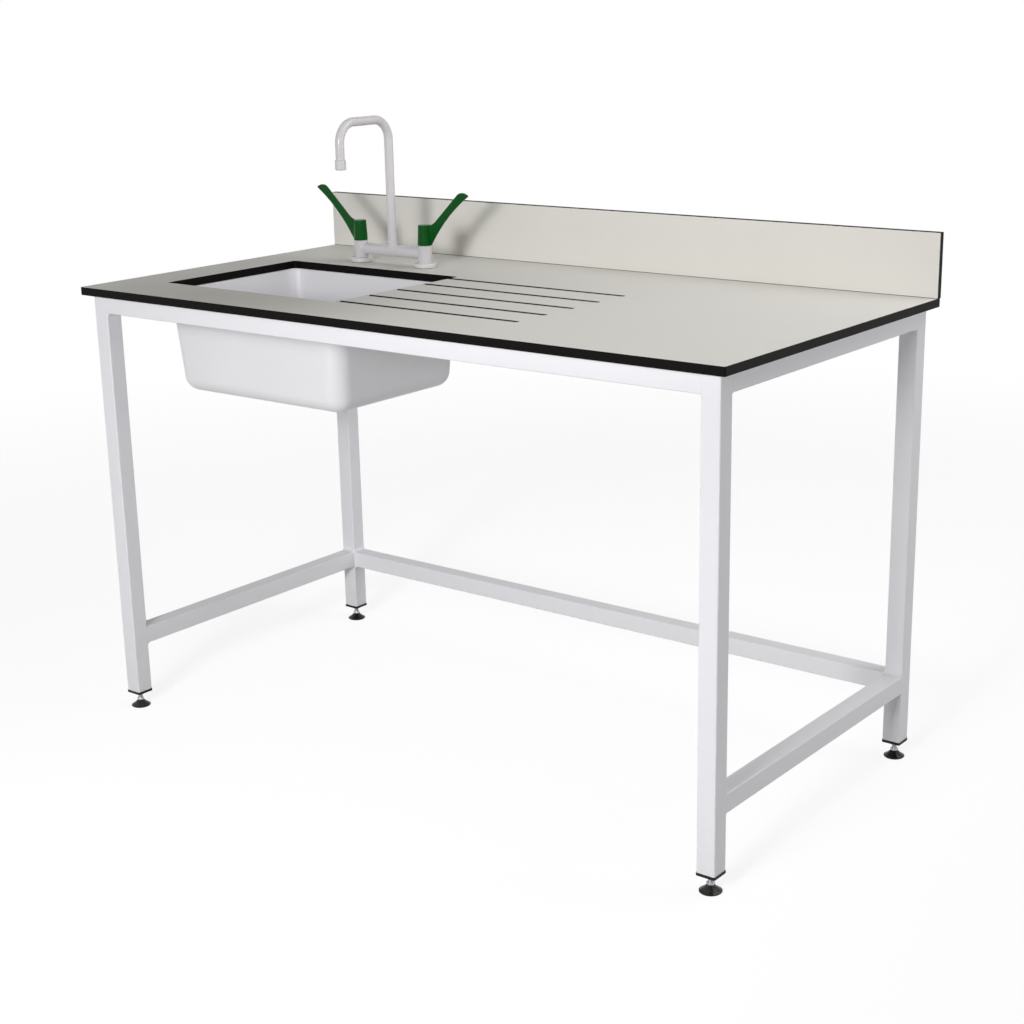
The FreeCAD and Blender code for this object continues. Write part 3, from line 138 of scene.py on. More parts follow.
heading, tilt, lean = 0.658342, 0.284430, -0.018206
back = Vector((math.sin(heading) * math.cos(tilt), -math.cos(heading) * math.cos(tilt),
               math.sin(tilt)))
across = Vector((math.cos(heading), math.sin(heading), 0))
over = back.cross(across)
right = math.cos(lean) * across + math.sin(lean) * over
up = math.cos(lean) * over - math.sin(lean) * across
lens = bpy.data.cameras.new("camera")
lens.sensor_fit, lens.sensor_width, lens.lens = "HORIZONTAL", 36, 62.476
lens.shift_x, lens.shift_y = -0.01644, 0.00824
camera = bpy.data.objects.new("camera", lens)
tripod = Matrix.Translation((2.11909, -2.63345, 1.43275))
camera.matrix_world = tripod @ Matrix((right, up, back)).transposed().to_4x4()
bpy.context.scene.collection.objects.link(camera)
bpy.context.scene.camera = camera
bpy.context.scene.view_settings.view_transform = "Standard"


# ------------------------------------------------------------------------------------------
# Stand: 36 mm square steel tube, sawn square, welded and then powder coated white. The coat
# has a fine peel, is thinner and greyer on the corners and holds some dust near the floor.
# ------------------------------------------------------------------------------------------
def start_effect(name, inputs, outputs):
    """Open a shared effect with named numbers in and out."""
    group = bpy.data.node_groups.new(name, "ShaderNodeTree")
    for label, content in inputs:
        socket = group.interface.new_socket(label, in_out="INPUT", socket_type="NodeSocketFloat")
        socket.default_value = content
    for label in outputs:
        group.interface.new_socket(label, in_out="OUTPUT", socket_type="NodeSocketFloat")
    result = group.nodes.new("NodeGroupOutput").inputs
    return group, group.nodes.new("NodeGroupInput").outputs, result


def noise(tree, scale, detail=2.0, roughness=0.5, vector=None):
    """Noise over the piece, in its own place."""
    spot = vector or own_place(tree)
    return put(tree, "ShaderNodeTexNoise", {"Vector": spot, "Scale": scale, "Detail": detail,
                                            "Roughness": roughness}).outputs[0]


def band(tree, value, start, end, low=0.0, high=1.0, smooth=False):
    """Numbers from low to high as a value goes from start to end."""
    return put(tree, "ShaderNodeMapRange", {"Value": value, "From Min": start, "From Max": end,
                                            "To Min": low, "To Max": high},
               interpolation_type="SMOOTHSTEP" if smooth else "LINEAR").outputs[0]


def axes(tree, vector):
    """X, Y and Z of a vector."""
    return put(tree, "ShaderNodeSeparateXYZ", {0: vector}).outputs


def blend(tree, share, first, second):
    """Colour between two colours."""
    return put(tree, "ShaderNodeMix", {0: share, 6: first, 7: second}, data_type="RGBA").outputs[2]


def make_peel():
    """Skin of a coat or moulding: fine peel, and slow unevenness of its thickness."""
    group, given, result = start_effect("peel", [("Peel", 650.0), ("Cloud", 7.0)],
                                        ["Height", "Cloudiness"])
    group.links.new(noise(group, given["Peel"], 2.0, 0.45), result["Height"])
    group.links.new(noise(group, given["Cloud"], 3.0), result["Cloudiness"])
    return group


def make_worn_corner():
    """Mask of a piece's corners, broken up as handling leaves them."""
    group, given, result = start_effect("worn_corner", [("Width", 0.002), ("Patches", 90.0)],
                                        ["Mask"])
    rounded = put(group, "ShaderNodeBevel", {"Radius": given["Width"]}, samples=4).outputs[0]
    face = put(group, "ShaderNodeNewGeometry", {}).outputs["Normal"]
    agree = put(group, "ShaderNodeVectorMath", {0: rounded, 1: face}, operation="DOT_PRODUCT")
    corner = band(group, agree.outputs["Value"], 0.995, 0.85)
    patches = band(group, noise(group, given["Patches"], 4.0), 0.35, 0.65)
    group.links.new(reckon(group, "MULTIPLY", corner, patches), result["Mask"])
    return group


def make_dust():
    """Mask of the dust that lies near the floor and on faces that look up."""
    group, given, result = start_effect("dust", [("Reach", 0.25), ("Lying", 0.35)], ["Mask"])
    spot = own_place(group)
    height = axes(group, spot)["Z"]
    low = band(group, height, given["Reach"], 0.0, smooth=True)
    face = put(group, "ShaderNodeNewGeometry", {}).outputs["Normal"]
    upward = axes(group, face)["Z"]
    lying = reckon(group, "MULTIPLY", band(group, upward, 0.6, 1.0), given["Lying"])
    patchy = band(group, noise(group, 45.0, 5.0, 0.65), 0.3, 0.75)
    both = reckon(group, "MAXIMUM", low, lying)
    group.links.new(reckon(group, "MULTIPLY", both, patchy), result["Mask"])
    return group


def effect(tree, group, **numbers):
    """Place a shared effect in a finish, with its own numbers."""
    return put(tree, "ShaderNodeGroup", numbers, node_tree=group).outputs


def start_finish(name, constants):
    """A new finish: constants are the numbers set on its shader's own sockets."""
    finish = bpy.data.materials.new(name)
    finish.use_nodes = True
    shader = finish.node_tree.nodes["Principled BSDF"]
    for label, content in constants.items():
        shader.inputs[label].default_value = content
    return finish, finish.node_tree, shader.inputs


def lift(tree, sockets, height, distance):
    """Raise a height on the surface."""
    relief = put(tree, "ShaderNodeBump", {"Height": height, "Distance": distance})
    tree.links.new(relief.outputs[0], sockets["Normal"])


def refinish(finish, *names):
    """Give CAD pieces this finish in place of their plain one."""
    for name in names:
        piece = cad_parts[name]
        for holder in piece.material_slots:
            holder.material = finish


peel, worn_corner, dust = make_peel(), make_worn_corner(), make_dust()


def baked_coat(name, colour, thin, rough, grain, depth, dusty, shine):
    """Powder or epoxy, baked on: colour, colour where it is thin, and its peel."""
    finish, tree, sockets = start_finish(name, {"Roughness": rough, "Specular IOR Level": shine})
    skin = effect(tree, peel, Peel=grain, Cloud=7.0)
    wear = effect(tree, worn_corner, Width=0.0022, Patches=70.0)
    fallen = effect(tree, dust, Reach=0.22, Lying=0.35)
    deeper = tuple(part * 0.965 for part in colour[:3]) + (1,)
    tone = blend(tree, skin["Cloudiness"], deeper, colour)
    tone = blend(tree, reckon(tree, "MULTIPLY", wear["Mask"], 0.3), tone, thin)
    fallen = reckon(tree, "MULTIPLY", fallen["Mask"], dusty)
    tone = blend(tree, fallen, tone, paint(176, 172, 165))
    tree.links.new(tone, sockets["Base Color"])
    tree.links.new(band(tree, skin["Cloudiness"], 0, 1, rough - 0.05, rough + 0.07),
                   sockets["Roughness"])
    lift(tree, sockets, skin["Height"], depth)
    return finish


white_powder = baked_coat("white_powder", paint(233, 232, 236), thin=paint(217, 216, 220),
                          rough=0.36, grain=620.0, depth=0.00006, dusty=0.14, shine=0.4)
refinish(white_powder, "leg_front_left", "leg_front_right", "leg_rear_left", "leg_rear_right",
         "top_rail_front", "top_rail_rear", "top_rail_left", "top_rail_right",
         "low_rail_left", "low_rail_right", "low_rail_rear")


# ------------------------------------------------------------------------------------------
# Welds: one hollow fillet in each inner corner between rail and leg, laid in a single run
# with the ripples of the pool still in it. The seams on the flush faces are filled and ground
# flat, and all is coated over with the stand.
# ------------------------------------------------------------------------------------------
def start_rule(name, inputs):
    """Open a tree that makes geometry by a rule: inputs are (name, type, value)."""
    tree = bpy.data.node_groups.new(name, "GeometryNodeTree")
    inputs = [("Geometry", "Geometry", None), *inputs, ("Finish", "Material", None)]
    for label, kind, content in inputs:
        socket = tree.interface.new_socket(label, in_out="INPUT", socket_type="NodeSocket" + kind)
        if content is not None:
            socket.default_value = content
    tree.interface.new_socket("Geometry", in_out="OUTPUT", socket_type="NodeSocketGeometry")
    return tree, tree.nodes.new("NodeGroupInput").outputs


def end_rule(tree, given, geometry):
    """Close a tree: real geometry, in its finish."""
    real = put(tree, "GeometryNodeRealizeInstances", {"Geometry": geometry}).outputs[0]
    dressed = put(tree, "GeometryNodeSetMaterial", {"Geometry": real, "Material": given["Finish"]})
    tree.links.new(dressed.outputs[0], tree.nodes.new("NodeGroupOutput").inputs[0])
    return tree


def follow_rule(tree, blank, values):
    """Run a tree on a blank mesh with its named inputs, and keep the plain mesh."""
    holder = bpy.data.objects.new("blank", blank)
    rule = holder.modifiers.new("rule", "NODES")
    rule.node_group = tree
    for socket in tree.interface.items_tree:
        if socket.in_out == "INPUT" and socket.name in values:
            rule[socket.identifier] = values[socket.name]
    bpy.context.scene.collection.objects.link(holder)
    ready = holder.evaluated_get(bpy.context.evaluated_depsgraph_get())
    made = bpy.data.meshes.new_from_object(ready)
    bpy.data.objects.remove(holder)
    return made


def ripple_rule():
    """Moves a weld's face in and out as the pool set, round by round, along its Y."""
    tree, given = start_rule("ripple_weld", [("Ripple", "Float", 1.7), ("Depth", "Float", 0.2),
                                             ("Leg", "Float", 8.0)])
    place = put(tree, "GeometryNodeInputPosition", {}).outputs[0]
    part = axes(tree, place)
    along = reckon(tree, "DIVIDE", part["Y"], given["Ripple"])
    side = reckon(tree, "DIVIDE", reckon(tree, "ADD", part["X"], part["Z"]), given["Leg"])
    bow = reckon(tree, "MULTIPLY", reckon(tree, "MULTIPLY", side, side), 1.4)
    turn = reckon(tree, "MULTIPLY", reckon(tree, "SUBTRACT", along, bow), math.tau)
    wave = reckon(tree, "MULTIPLY", reckon(tree, "SINE", turn), given["Depth"])
    outward = put(tree, "GeometryNodeInputNormal", {}).outputs[0]
    shift = put(tree, "ShaderNodeVectorMath", {0: outward, "Scale": wave}, operation="SCALE")
    face = put(tree, "GeometryNodeInputNamedAttribute", {"Name": "face"}, data_type="BOOLEAN")
    moved = put(tree, "GeometryNodeSetPosition", {"Geometry": given["Geometry"],
                                                  "Selection": face.outputs[0],
                                                  "Offset": shift.outputs[0]})
    return end_rule(tree, given, moved.outputs[0])


def set_out_rule():
    """Sets one piece on every point, aimed by the point's own turn and left at a chance turn."""
    tree, given = start_rule("set_out", [("Piece", "Object", None), ("Chance", "Float", 0.0),
                                         ("Seed", "Int", 3)])
    aim = put(tree, "GeometryNodeInputNamedAttribute", {"Name": "aim"}, data_type="FLOAT_VECTOR")
    aimed = put(tree, "FunctionNodeEulerToRotation", {0: aim.outputs[0]}).outputs[0]
    chance = put(tree, "FunctionNodeRandomValue", {2: 0.0, 3: given["Chance"],
                                                   "Seed": given["Seed"]})
    spin = put(tree, "ShaderNodeCombineXYZ", {"Z": chance.outputs[1]}).outputs[0]
    spin = put(tree, "FunctionNodeEulerToRotation", {0: spin}).outputs[0]
    turn = put(tree, "FunctionNodeRotateRotation", {0: aimed, 1: spin}, rotation_space="LOCAL")
    piece = put(tree, "GeometryNodeObjectInfo", {"Object": given["Piece"]}).outputs["Geometry"]
    placed = put(tree, "GeometryNodeInstanceOnPoints", {"Points": given["Geometry"],
                                                        "Instance": piece,
                                                        "Rotation": turn.outputs[0]})
    return end_rule(tree, given, placed.outputs[0])


ripple_weld, set_out = ripple_rule(), set_out_rule()


def seat(name, mesh, body, replaced, place=(0, 0, 0), turn=None, crease=35):
    """Bring a mesh from millimetres to its place on the bench and hand it over."""
    if turn:
        mesh.transform(turn)
    mesh.transform(Matrix.Scale(0.001, 4) @ Matrix.Translation(place))
    mesh.polygons.foreach_set("use_smooth", [True] * len(mesh.polygons))
    mesh.set_sharp_from_angle(angle=math.radians(crease))
    piece = bpy.data.objects.new(name, mesh)
    bpy.context.scene.collection.objects.link(piece)
    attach(piece, body)
    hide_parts(*replaced)


def repeat(mesh, marks, finish, chance=0.0, seed=3):
    """One mesh with the piece set on every mark, each (place, aim), in millimetres."""
    points = bpy.data.meshes.new("marks")
    points.from_pydata([place for place, aim in marks], [], [])
    aims = points.attributes.new("aim", "FLOAT_VECTOR", "POINT")
    aims.data.foreach_set("vector", [number for place, aim in marks for number in aim])
    master = bpy.data.objects.new("master", mesh)
    bpy.context.scene.collection.objects.link(master)
    made = follow_rule(set_out, points, {"Piece": master, "Chance": chance, "Seed": seed,
                                         "Finish": finish})
    bpy.data.objects.remove(master)
    return made


def join_rows(shape, rows):
    """Faces between each closed row of corners and the next; a row may meet in one point."""
    for low, high in zip(rows, rows[1:]):
        for step in range(len(low)):
            after = (step + 1) % len(low)
            corners = dict.fromkeys((low[step], low[after], high[after], high[step]))
            if len(corners) > 2:
                shape.faces.new(list(corners))


def plain_mesh(name, shape):
    """Mesh of a finished shape."""
    mesh = bpy.data.meshes.new(name)
    shape.to_mesh(mesh)
    shape.free()
    return mesh


def weld_blank(leg, length, steps=72, arcs=8):
    """Hollow fillet with its legs along +X and -Z, and fine rows along Y for the ripples."""
    shape = bmesh.new()
    on_face = shape.verts.layers.bool.new("face")
    rows = []
    for step in range(steps + 1):
        y = length * (step / steps - 0.5)
        swell = min(1.0, 6.0 * min(step, steps - step) / steps + 0.25)
        row = [shape.verts.new((-0.4, y, 0.4))]
        for arc in range(arcs + 1):
            turn = math.pi / 2 * arc / arcs
            hollow = Vector((leg - leg * math.cos(turn), 0, -leg + leg * math.sin(turn)))
            chord = Vector((leg * arc / arcs, 0, -leg * (1 - arc / arcs)))
            spot = hollow.lerp(chord, 0.12 * swell)
            row.append(shape.verts.new((spot.x, y, spot.z)))
        rows.append(row)
    for row in rows[2:-2]:
        for vertex in row[2:-1]:
            vertex[on_face] = True
    join_rows(shape, rows)
    shape.faces.new(rows[0][::-1])
    shape.faces.new(rows[-1])
    bmesh.ops.recalc_face_normals(shape, faces=shape.faces)
    return plain_mesh("weld", shape)


LEG_X, LEG_Y = 714, 339           # axes of the legs
TUBE, HALF = 36, 18               # square tube, outside, and half of it
TOP_RAIL, LOW_RAIL = 866, 157     # axes of the rails above the floor
WELD_LEG, WELD_RUN = 8, 31        # fillet of a weld and its length
bead = follow_rule(ripple_weld, weld_blank(WELD_LEG, WELD_RUN),
                   {"Ripple": 1.7, "Depth": 0.16, "Leg": float(WELD_LEG), "Finish": white_powder})


def ground_weld(corner=2.5, rail=TUBE, proud=0.08, arcs=6):
    """Filler of the notch that a leg's round corner leaves: leg towards +X, flush face at -Y."""
    shape = bmesh.new()
    rows = []
    steps = [corner * (1 - math.cos(math.pi / 2 * step / arcs)) for step in range(arcs + 1)]
    for height in steps + [rail - step for step in steps[::-1]]:
        edge = min(height, rail - height, corner)
        sunk = corner - math.sqrt(corner ** 2 - (corner - edge) ** 2)
        row = [shape.verts.new((0, sunk, height - rail / 2))]
        for arc in range(arcs + 1):
            across = sunk + (corner - sunk) * arc / arcs
            reach = corner - math.sqrt(corner ** 2 - (corner - across) ** 2)
            spot = (reach + (proud if arc else 0), across, height - rail / 2)
            row.append(shape.verts.new(spot))
        rows.append(row)
    join_rows(shape, rows)
    bmesh.ops.remove_doubles(shape, verts=shape.verts, dist=0.0005)
    bmesh.ops.holes_fill(shape, edges=shape.edges)
    bmesh.ops.recalc_face_normals(shape, faces=shape.faces)
    return plain_mesh("ground_weld", shape)


END_X, END_Y = LEG_X - HALF, LEG_Y - HALF     # where the rails meet the legs
seams = []
for end in (-1, 1):
    for face in (-1, 1):
        for rear, level in ((-1, TOP_RAIL), (1, TOP_RAIL), (1, LOW_RAIL)):
            seams.append(((end * END_X, rear * LEG_Y + face * HALF, level), end, face, False))
        for side in (-1, 1):
            for level in (TOP_RAIL, LOW_RAIL):
                seams.append(((side * LEG_X + face * HALF, end * END_Y, level), end, face, True))
shape = bmesh.new()
swap_x_and_y = Matrix(((0, 1, 0, 0), (1, 0, 0, 0), (0, 0, 1, 0), (0, 0, 0, 1)))
for place, end, face, along_y in seams:
    one = ground_weld()
    one.transform(Matrix.Diagonal((end, -face, 1, 1)))
    if along_y:
        one.transform(swap_x_and_y)
    one.transform(Matrix.Translation(place))
    shape.from_mesh(one)
bmesh.ops.recalc_face_normals(shape, faces=shape.faces)
fillers = plain_mesh("fillers", shape)
fillers.materials.append(white_powder)
seat("ground_welds", fillers, "bench", ["frame_welds"], crease=30)
beads = []
for side in (-1, 1):
    for end in (-1, 1):
        for face, flip in ((TOP_RAIL - HALF, 0), (LOW_RAIL - HALF, 0), (LOW_RAIL + HALF, math.pi)):
            if face == TOP_RAIL - HALF or end > 0:
                beads.append(((side * END_X, end * LEG_Y, face),
                              (flip, 0, 0 if side < 0 else math.pi)))
            beads.append(((side * LEG_X, end * END_Y, face),
                          (flip, 0, math.pi / 2 if end < 0 else -math.pi / 2)))
seat("weld_beads", repeat(bead, beads, white_powder), "bench", ["frame_welds"],
     crease=50)


# ------------------------------------------------------------------------------------------
# Leg inserts: black nylon plugs, pushed into the tubes and threaded for the levelling feet.
# The flange that shows is dull from the mould and greyed on its corners by handling.
# ------------------------------------------------------------------------------------------
def moulding(name, colour, worn, rough, grain, depth, dusty=0.0, shine=0.5):
    """Plastic or rubber out of a mould, with its fine skin."""
    finish, tree, sockets = start_finish(name, {"Roughness": rough, "Specular IOR Level": shine})
    skin = effect(tree, peel, Peel=grain, Cloud=60.0)
    wear = effect(tree, worn_corner, Width=0.0008, Patches=300.0)
    fallen = effect(tree, dust, Reach=0.05, Lying=0.5)
    lighter = tuple(min(1, part * 1.25 + 0.003) for part in colour[:3]) + (1,)
    tone = blend(tree, skin["Cloudiness"], colour, lighter)
    tone = blend(tree, reckon(tree, "MULTIPLY", wear["Mask"], 0.5), tone, worn)
    fallen = reckon(tree, "MULTIPLY", fallen["Mask"], dusty)
    tone = blend(tree, fallen, tone, paint(150, 146, 140))
    tree.links.new(tone, sockets["Base Color"])
    tree.links.new(band(tree, skin["Cloudiness"], 0.2, 0.8, rough * 0.8, rough * 1.25),
                   sockets["Roughness"])
    lift(tree, sockets, skin["Height"], depth)
    return finish


dull_nylon = moulding("dull_black_nylon", paint(16, 16, 17), worn=paint(44, 44, 46), rough=0.5,
                      grain=1400.0, depth=0.00004, dusty=0.05, shine=0.2)
refinish(dull_nylon, "leg_insert_front_left", "leg_insert_front_right",
         "leg_insert_rear_left", "leg_insert_rear_right")


# ------------------------------------------------------------------------------------------
# Locknuts: zinc plated steel hexagons, 17 mm across flats, chamfered on both faces and run
# up by hand, so each stops at its own turn.
# ------------------------------------------------------------------------------------------
def make_tool_marks():
    """Rings that a cutting tool leaves round a turned piece, and slow clouds of plating."""
    group, given, result = start_effect("tool_marks", [("Rings", 900.0), ("Cloud", 60.0)],
                                        ["Height", "Cloudiness"])
    spot = own_place(group)
    stretch = put(group, "ShaderNodeCombineXYZ", {"X": 12.0, "Y": 12.0, "Z": given["Rings"]})
    rings = put(group, "ShaderNodeVectorMath", {0: spot, 1: stretch.outputs[0]},
                operation="MULTIPLY")
    group.links.new(noise(group, 1.0, 2.0, 0.5, rings.outputs[0]), result["Height"])
    group.links.new(noise(group, given["Cloud"], 3.0), result["Cloudiness"])
    return group


tool_marks = make_tool_marks()


def bare_metal(name, bright, dim, rough, depth):
    """Machined or plated metal, dim where its clouds lie."""
    finish, tree, sockets = start_finish(name, {"Metallic": 1.0, "Roughness": rough})
    marks = effect(tree, tool_marks, Rings=900.0, Cloud=120.0)
    wear = effect(tree, worn_corner, Width=0.0006, Patches=260.0)
    tone = blend(tree, marks["Cloudiness"], dim, bright)
    pale = tuple(min(1, part * 1.15) for part in bright[:3]) + (1,)
    tree.links.new(blend(tree, wear["Mask"], tone, pale), sockets["Base Color"])
    tree.links.new(band(tree, marks["Cloudiness"], 0.25, 0.75, rough + 0.1, rough - 0.06),
                   sockets["Roughness"])
    lift(tree, sockets, marks["Height"], depth)
    return finish


def hexagon(flats):
    """Reach of a hexagon at each angle, two of its flats looking along X."""
    return lambda angle: flats / 2 / math.cos((angle + math.pi / 6) % (math.pi / 3) - math.pi / 6)


def turned(name, profile, sides=48, hollow=False):
    """Mesh of a piece about its own upright axis: (reach, height) points, from its foot up.

    A reach is a radius or a rule for one at each angle; a hollow piece's profile is a loop.
    """
    shape = bmesh.new()
    rings = []
    for reach, height in profile:
        if reach == 0:
            rings.append([shape.verts.new((0, 0, height))] * sides)
            continue
        ring = []
        for step in range(sides):
            angle = math.tau * step / sides
            radius = reach(angle) if callable(reach) else reach
            spot = (radius * math.cos(angle), radius * math.sin(angle), height)
            ring.append(shape.verts.new(spot))
        rings.append(ring)
    join_rows(shape, rings + rings[:1] if hollow else rings)
    return plain_mesh(name, shape)


def nut(name, flats, bore, foot, top, chamfer=0.9):
    """Hexagon nut with both faces chamfered and its bore countersunk."""
    face, sink = flats / 2 * 0.965, 0.5
    return turned(name, [(bore + sink, foot), (face, foot), (hexagon(flats), foot + chamfer),
                         (hexagon(flats), top - chamfer), (face, top), (bore + sink, top),
                         (bore, top - sink), (bore, foot + sink)], hollow=True)


CORNERS = {"front_left": (-LEG_X, -LEG_Y), "front_right": (LEG_X, -LEG_Y),
           "rear_left": (-LEG_X, LEG_Y), "rear_right": (LEG_X, LEG_Y)}
UPRIGHT = (0, 0, 0)
zinc = bare_metal("zinc_plate", paint(196, 198, 201), dim=paint(146, 150, 156), rough=0.34,
                  depth=0.000012)
locknut = nut("locknut", flats=17, bore=5.0, foot=26, top=32)
marks = [((x, y, 0), UPRIGHT) for x, y in CORNERS.values()]
seat("locknuts", repeat(locknut, marks, zinc, chance=1.05, seed=7), "bench",
     ["foot_locknuts"])


# ------------------------------------------------------------------------------------------
# Stems of the levelling feet: M10 zinc plated studs with a rolled thread and a 13 mm hexagon
# for the spanner, riveted into the bases they turn with.
# ------------------------------------------------------------------------------------------
def thread_rule():
    """Cuts a V thread with flat crests into an upright turned face, fading out at both ends."""
    tree, given = start_rule("cut_thread", [("Crest", "Float", 4.7), ("Depth", "Float", 0.8),
                                            ("Pitch", "Float", 1.5), ("Start", "Float", 0.0),
                                            ("End", "Float", 10.0)])
    place = put(tree, "GeometryNodeInputPosition", {}).outputs[0]
    part = axes(tree, place)
    squares = reckon(tree, "ADD", reckon(tree, "MULTIPLY", part["X"], part["X"]),
                     reckon(tree, "MULTIPLY", part["Y"], part["Y"]))
    radius = reckon(tree, "SQRT", squares)
    turn = reckon(tree, "DIVIDE", reckon(tree, "ARCTAN2", part["Y"], part["X"]), math.tau)
    phase = reckon(tree, "FRACT", reckon(tree, "SUBTRACT", reckon(tree, "DIVIDE", part["Z"],
                                                                  given["Pitch"]), turn))
    flank = reckon(tree, "ABSOLUTE", reckon(tree, "SUBTRACT", phase, 0.5))
    valley = band(tree, flank, 0.06, 0.44, 1.0, 0.0)
    run_in = band(tree, reckon(tree, "DIVIDE", reckon(tree, "SUBTRACT", part["Z"], given["Start"]),
                               given["Pitch"]), 0.0, 1.0)
    run_out = band(tree, reckon(tree, "DIVIDE", reckon(tree, "SUBTRACT", given["End"], part["Z"]),
                                given["Pitch"]), 0.0, 1.0)
    cut = reckon(tree, "MULTIPLY", reckon(tree, "MULTIPLY", valley, given["Depth"]),
                 reckon(tree, "MULTIPLY", run_in, run_out))
    share = reckon(tree, "DIVIDE", reckon(tree, "MULTIPLY", cut, -1.0), radius)
    shift = put(tree, "ShaderNodeCombineXYZ", {"X": reckon(tree, "MULTIPLY", part["X"], share),
                                               "Y": reckon(tree, "MULTIPLY", part["Y"], share)})
    off = reckon(tree, "ABSOLUTE", reckon(tree, "SUBTRACT", radius, given["Crest"]))
    on_crest = reckon(tree, "LESS_THAN", off, 0.05)
    moved = put(tree, "GeometryNodeSetPosition", {"Geometry": given["Geometry"],
                                                  "Selection": on_crest,
                                                  "Offset": shift.outputs[0]})
    return end_rule(tree, given, moved.outputs[0])


cut_thread = thread_rule()


def fine_rows(radius, start, end, pitch, share=8):
    """Closely spaced profile points where a thread will be cut."""
    count = round((end - start) / pitch * share)
    return [(radius, start + (end - start) * step / count) for step in range(count + 1)]


def threaded(blank, crest, depth, pitch, start, end, finish):
    """Cut a thread into the rows of a blank, from start to end above its foot."""
    return follow_rule(cut_thread, blank, {"Crest": crest, "Depth": depth, "Pitch": pitch,
                                           "Start": start, "End": end, "Finish": finish})


STUD, STUD_PITCH, STUD_START, STUD_TOP = 4.7, 1.5, 18.6, 67.0
spanner = hexagon(13)
stud = ([(0, 6), (3.6, 6), (4.0, 6.4), (4.0, 12.9), (6.3, 13.0), (spanner, 13.8), (spanner, 17.2),
         (6.3, 18.0), (STUD, 18.01)] + fine_rows(STUD, STUD_START, STUD_TOP - 1, STUD_PITCH)
        + [(STUD - 1, STUD_TOP), (0, STUD_TOP)])
for corner, (x, y) in CORNERS.items():
    stem = threaded(turned("foot_stem", stud), STUD, 0.8, STUD_PITCH, STUD_START,
                    STUD_TOP + 0.5, zinc)
    seat("threaded_stem_" + corner, stem, "foot_" + corner, ["foot_stem_" + corner],
         (x, y, 0))


# ------------------------------------------------------------------------------------------
# Bases of the feet: polished black nylon cones with a short upright rim, which slide and tilt
# a little on the floor and scuff there.
# ------------------------------------------------------------------------------------------
polished_nylon = moulding("polished_black_nylon", paint(10, 10, 11), worn=paint(50, 50, 52),
                          rough=0.14, grain=700.0, depth=0.00002, dusty=0.2, shine=0.2)
refinish(polished_nylon, "foot_base_front_left", "foot_base_front_right",
         "foot_base_rear_left", "foot_base_rear_right")


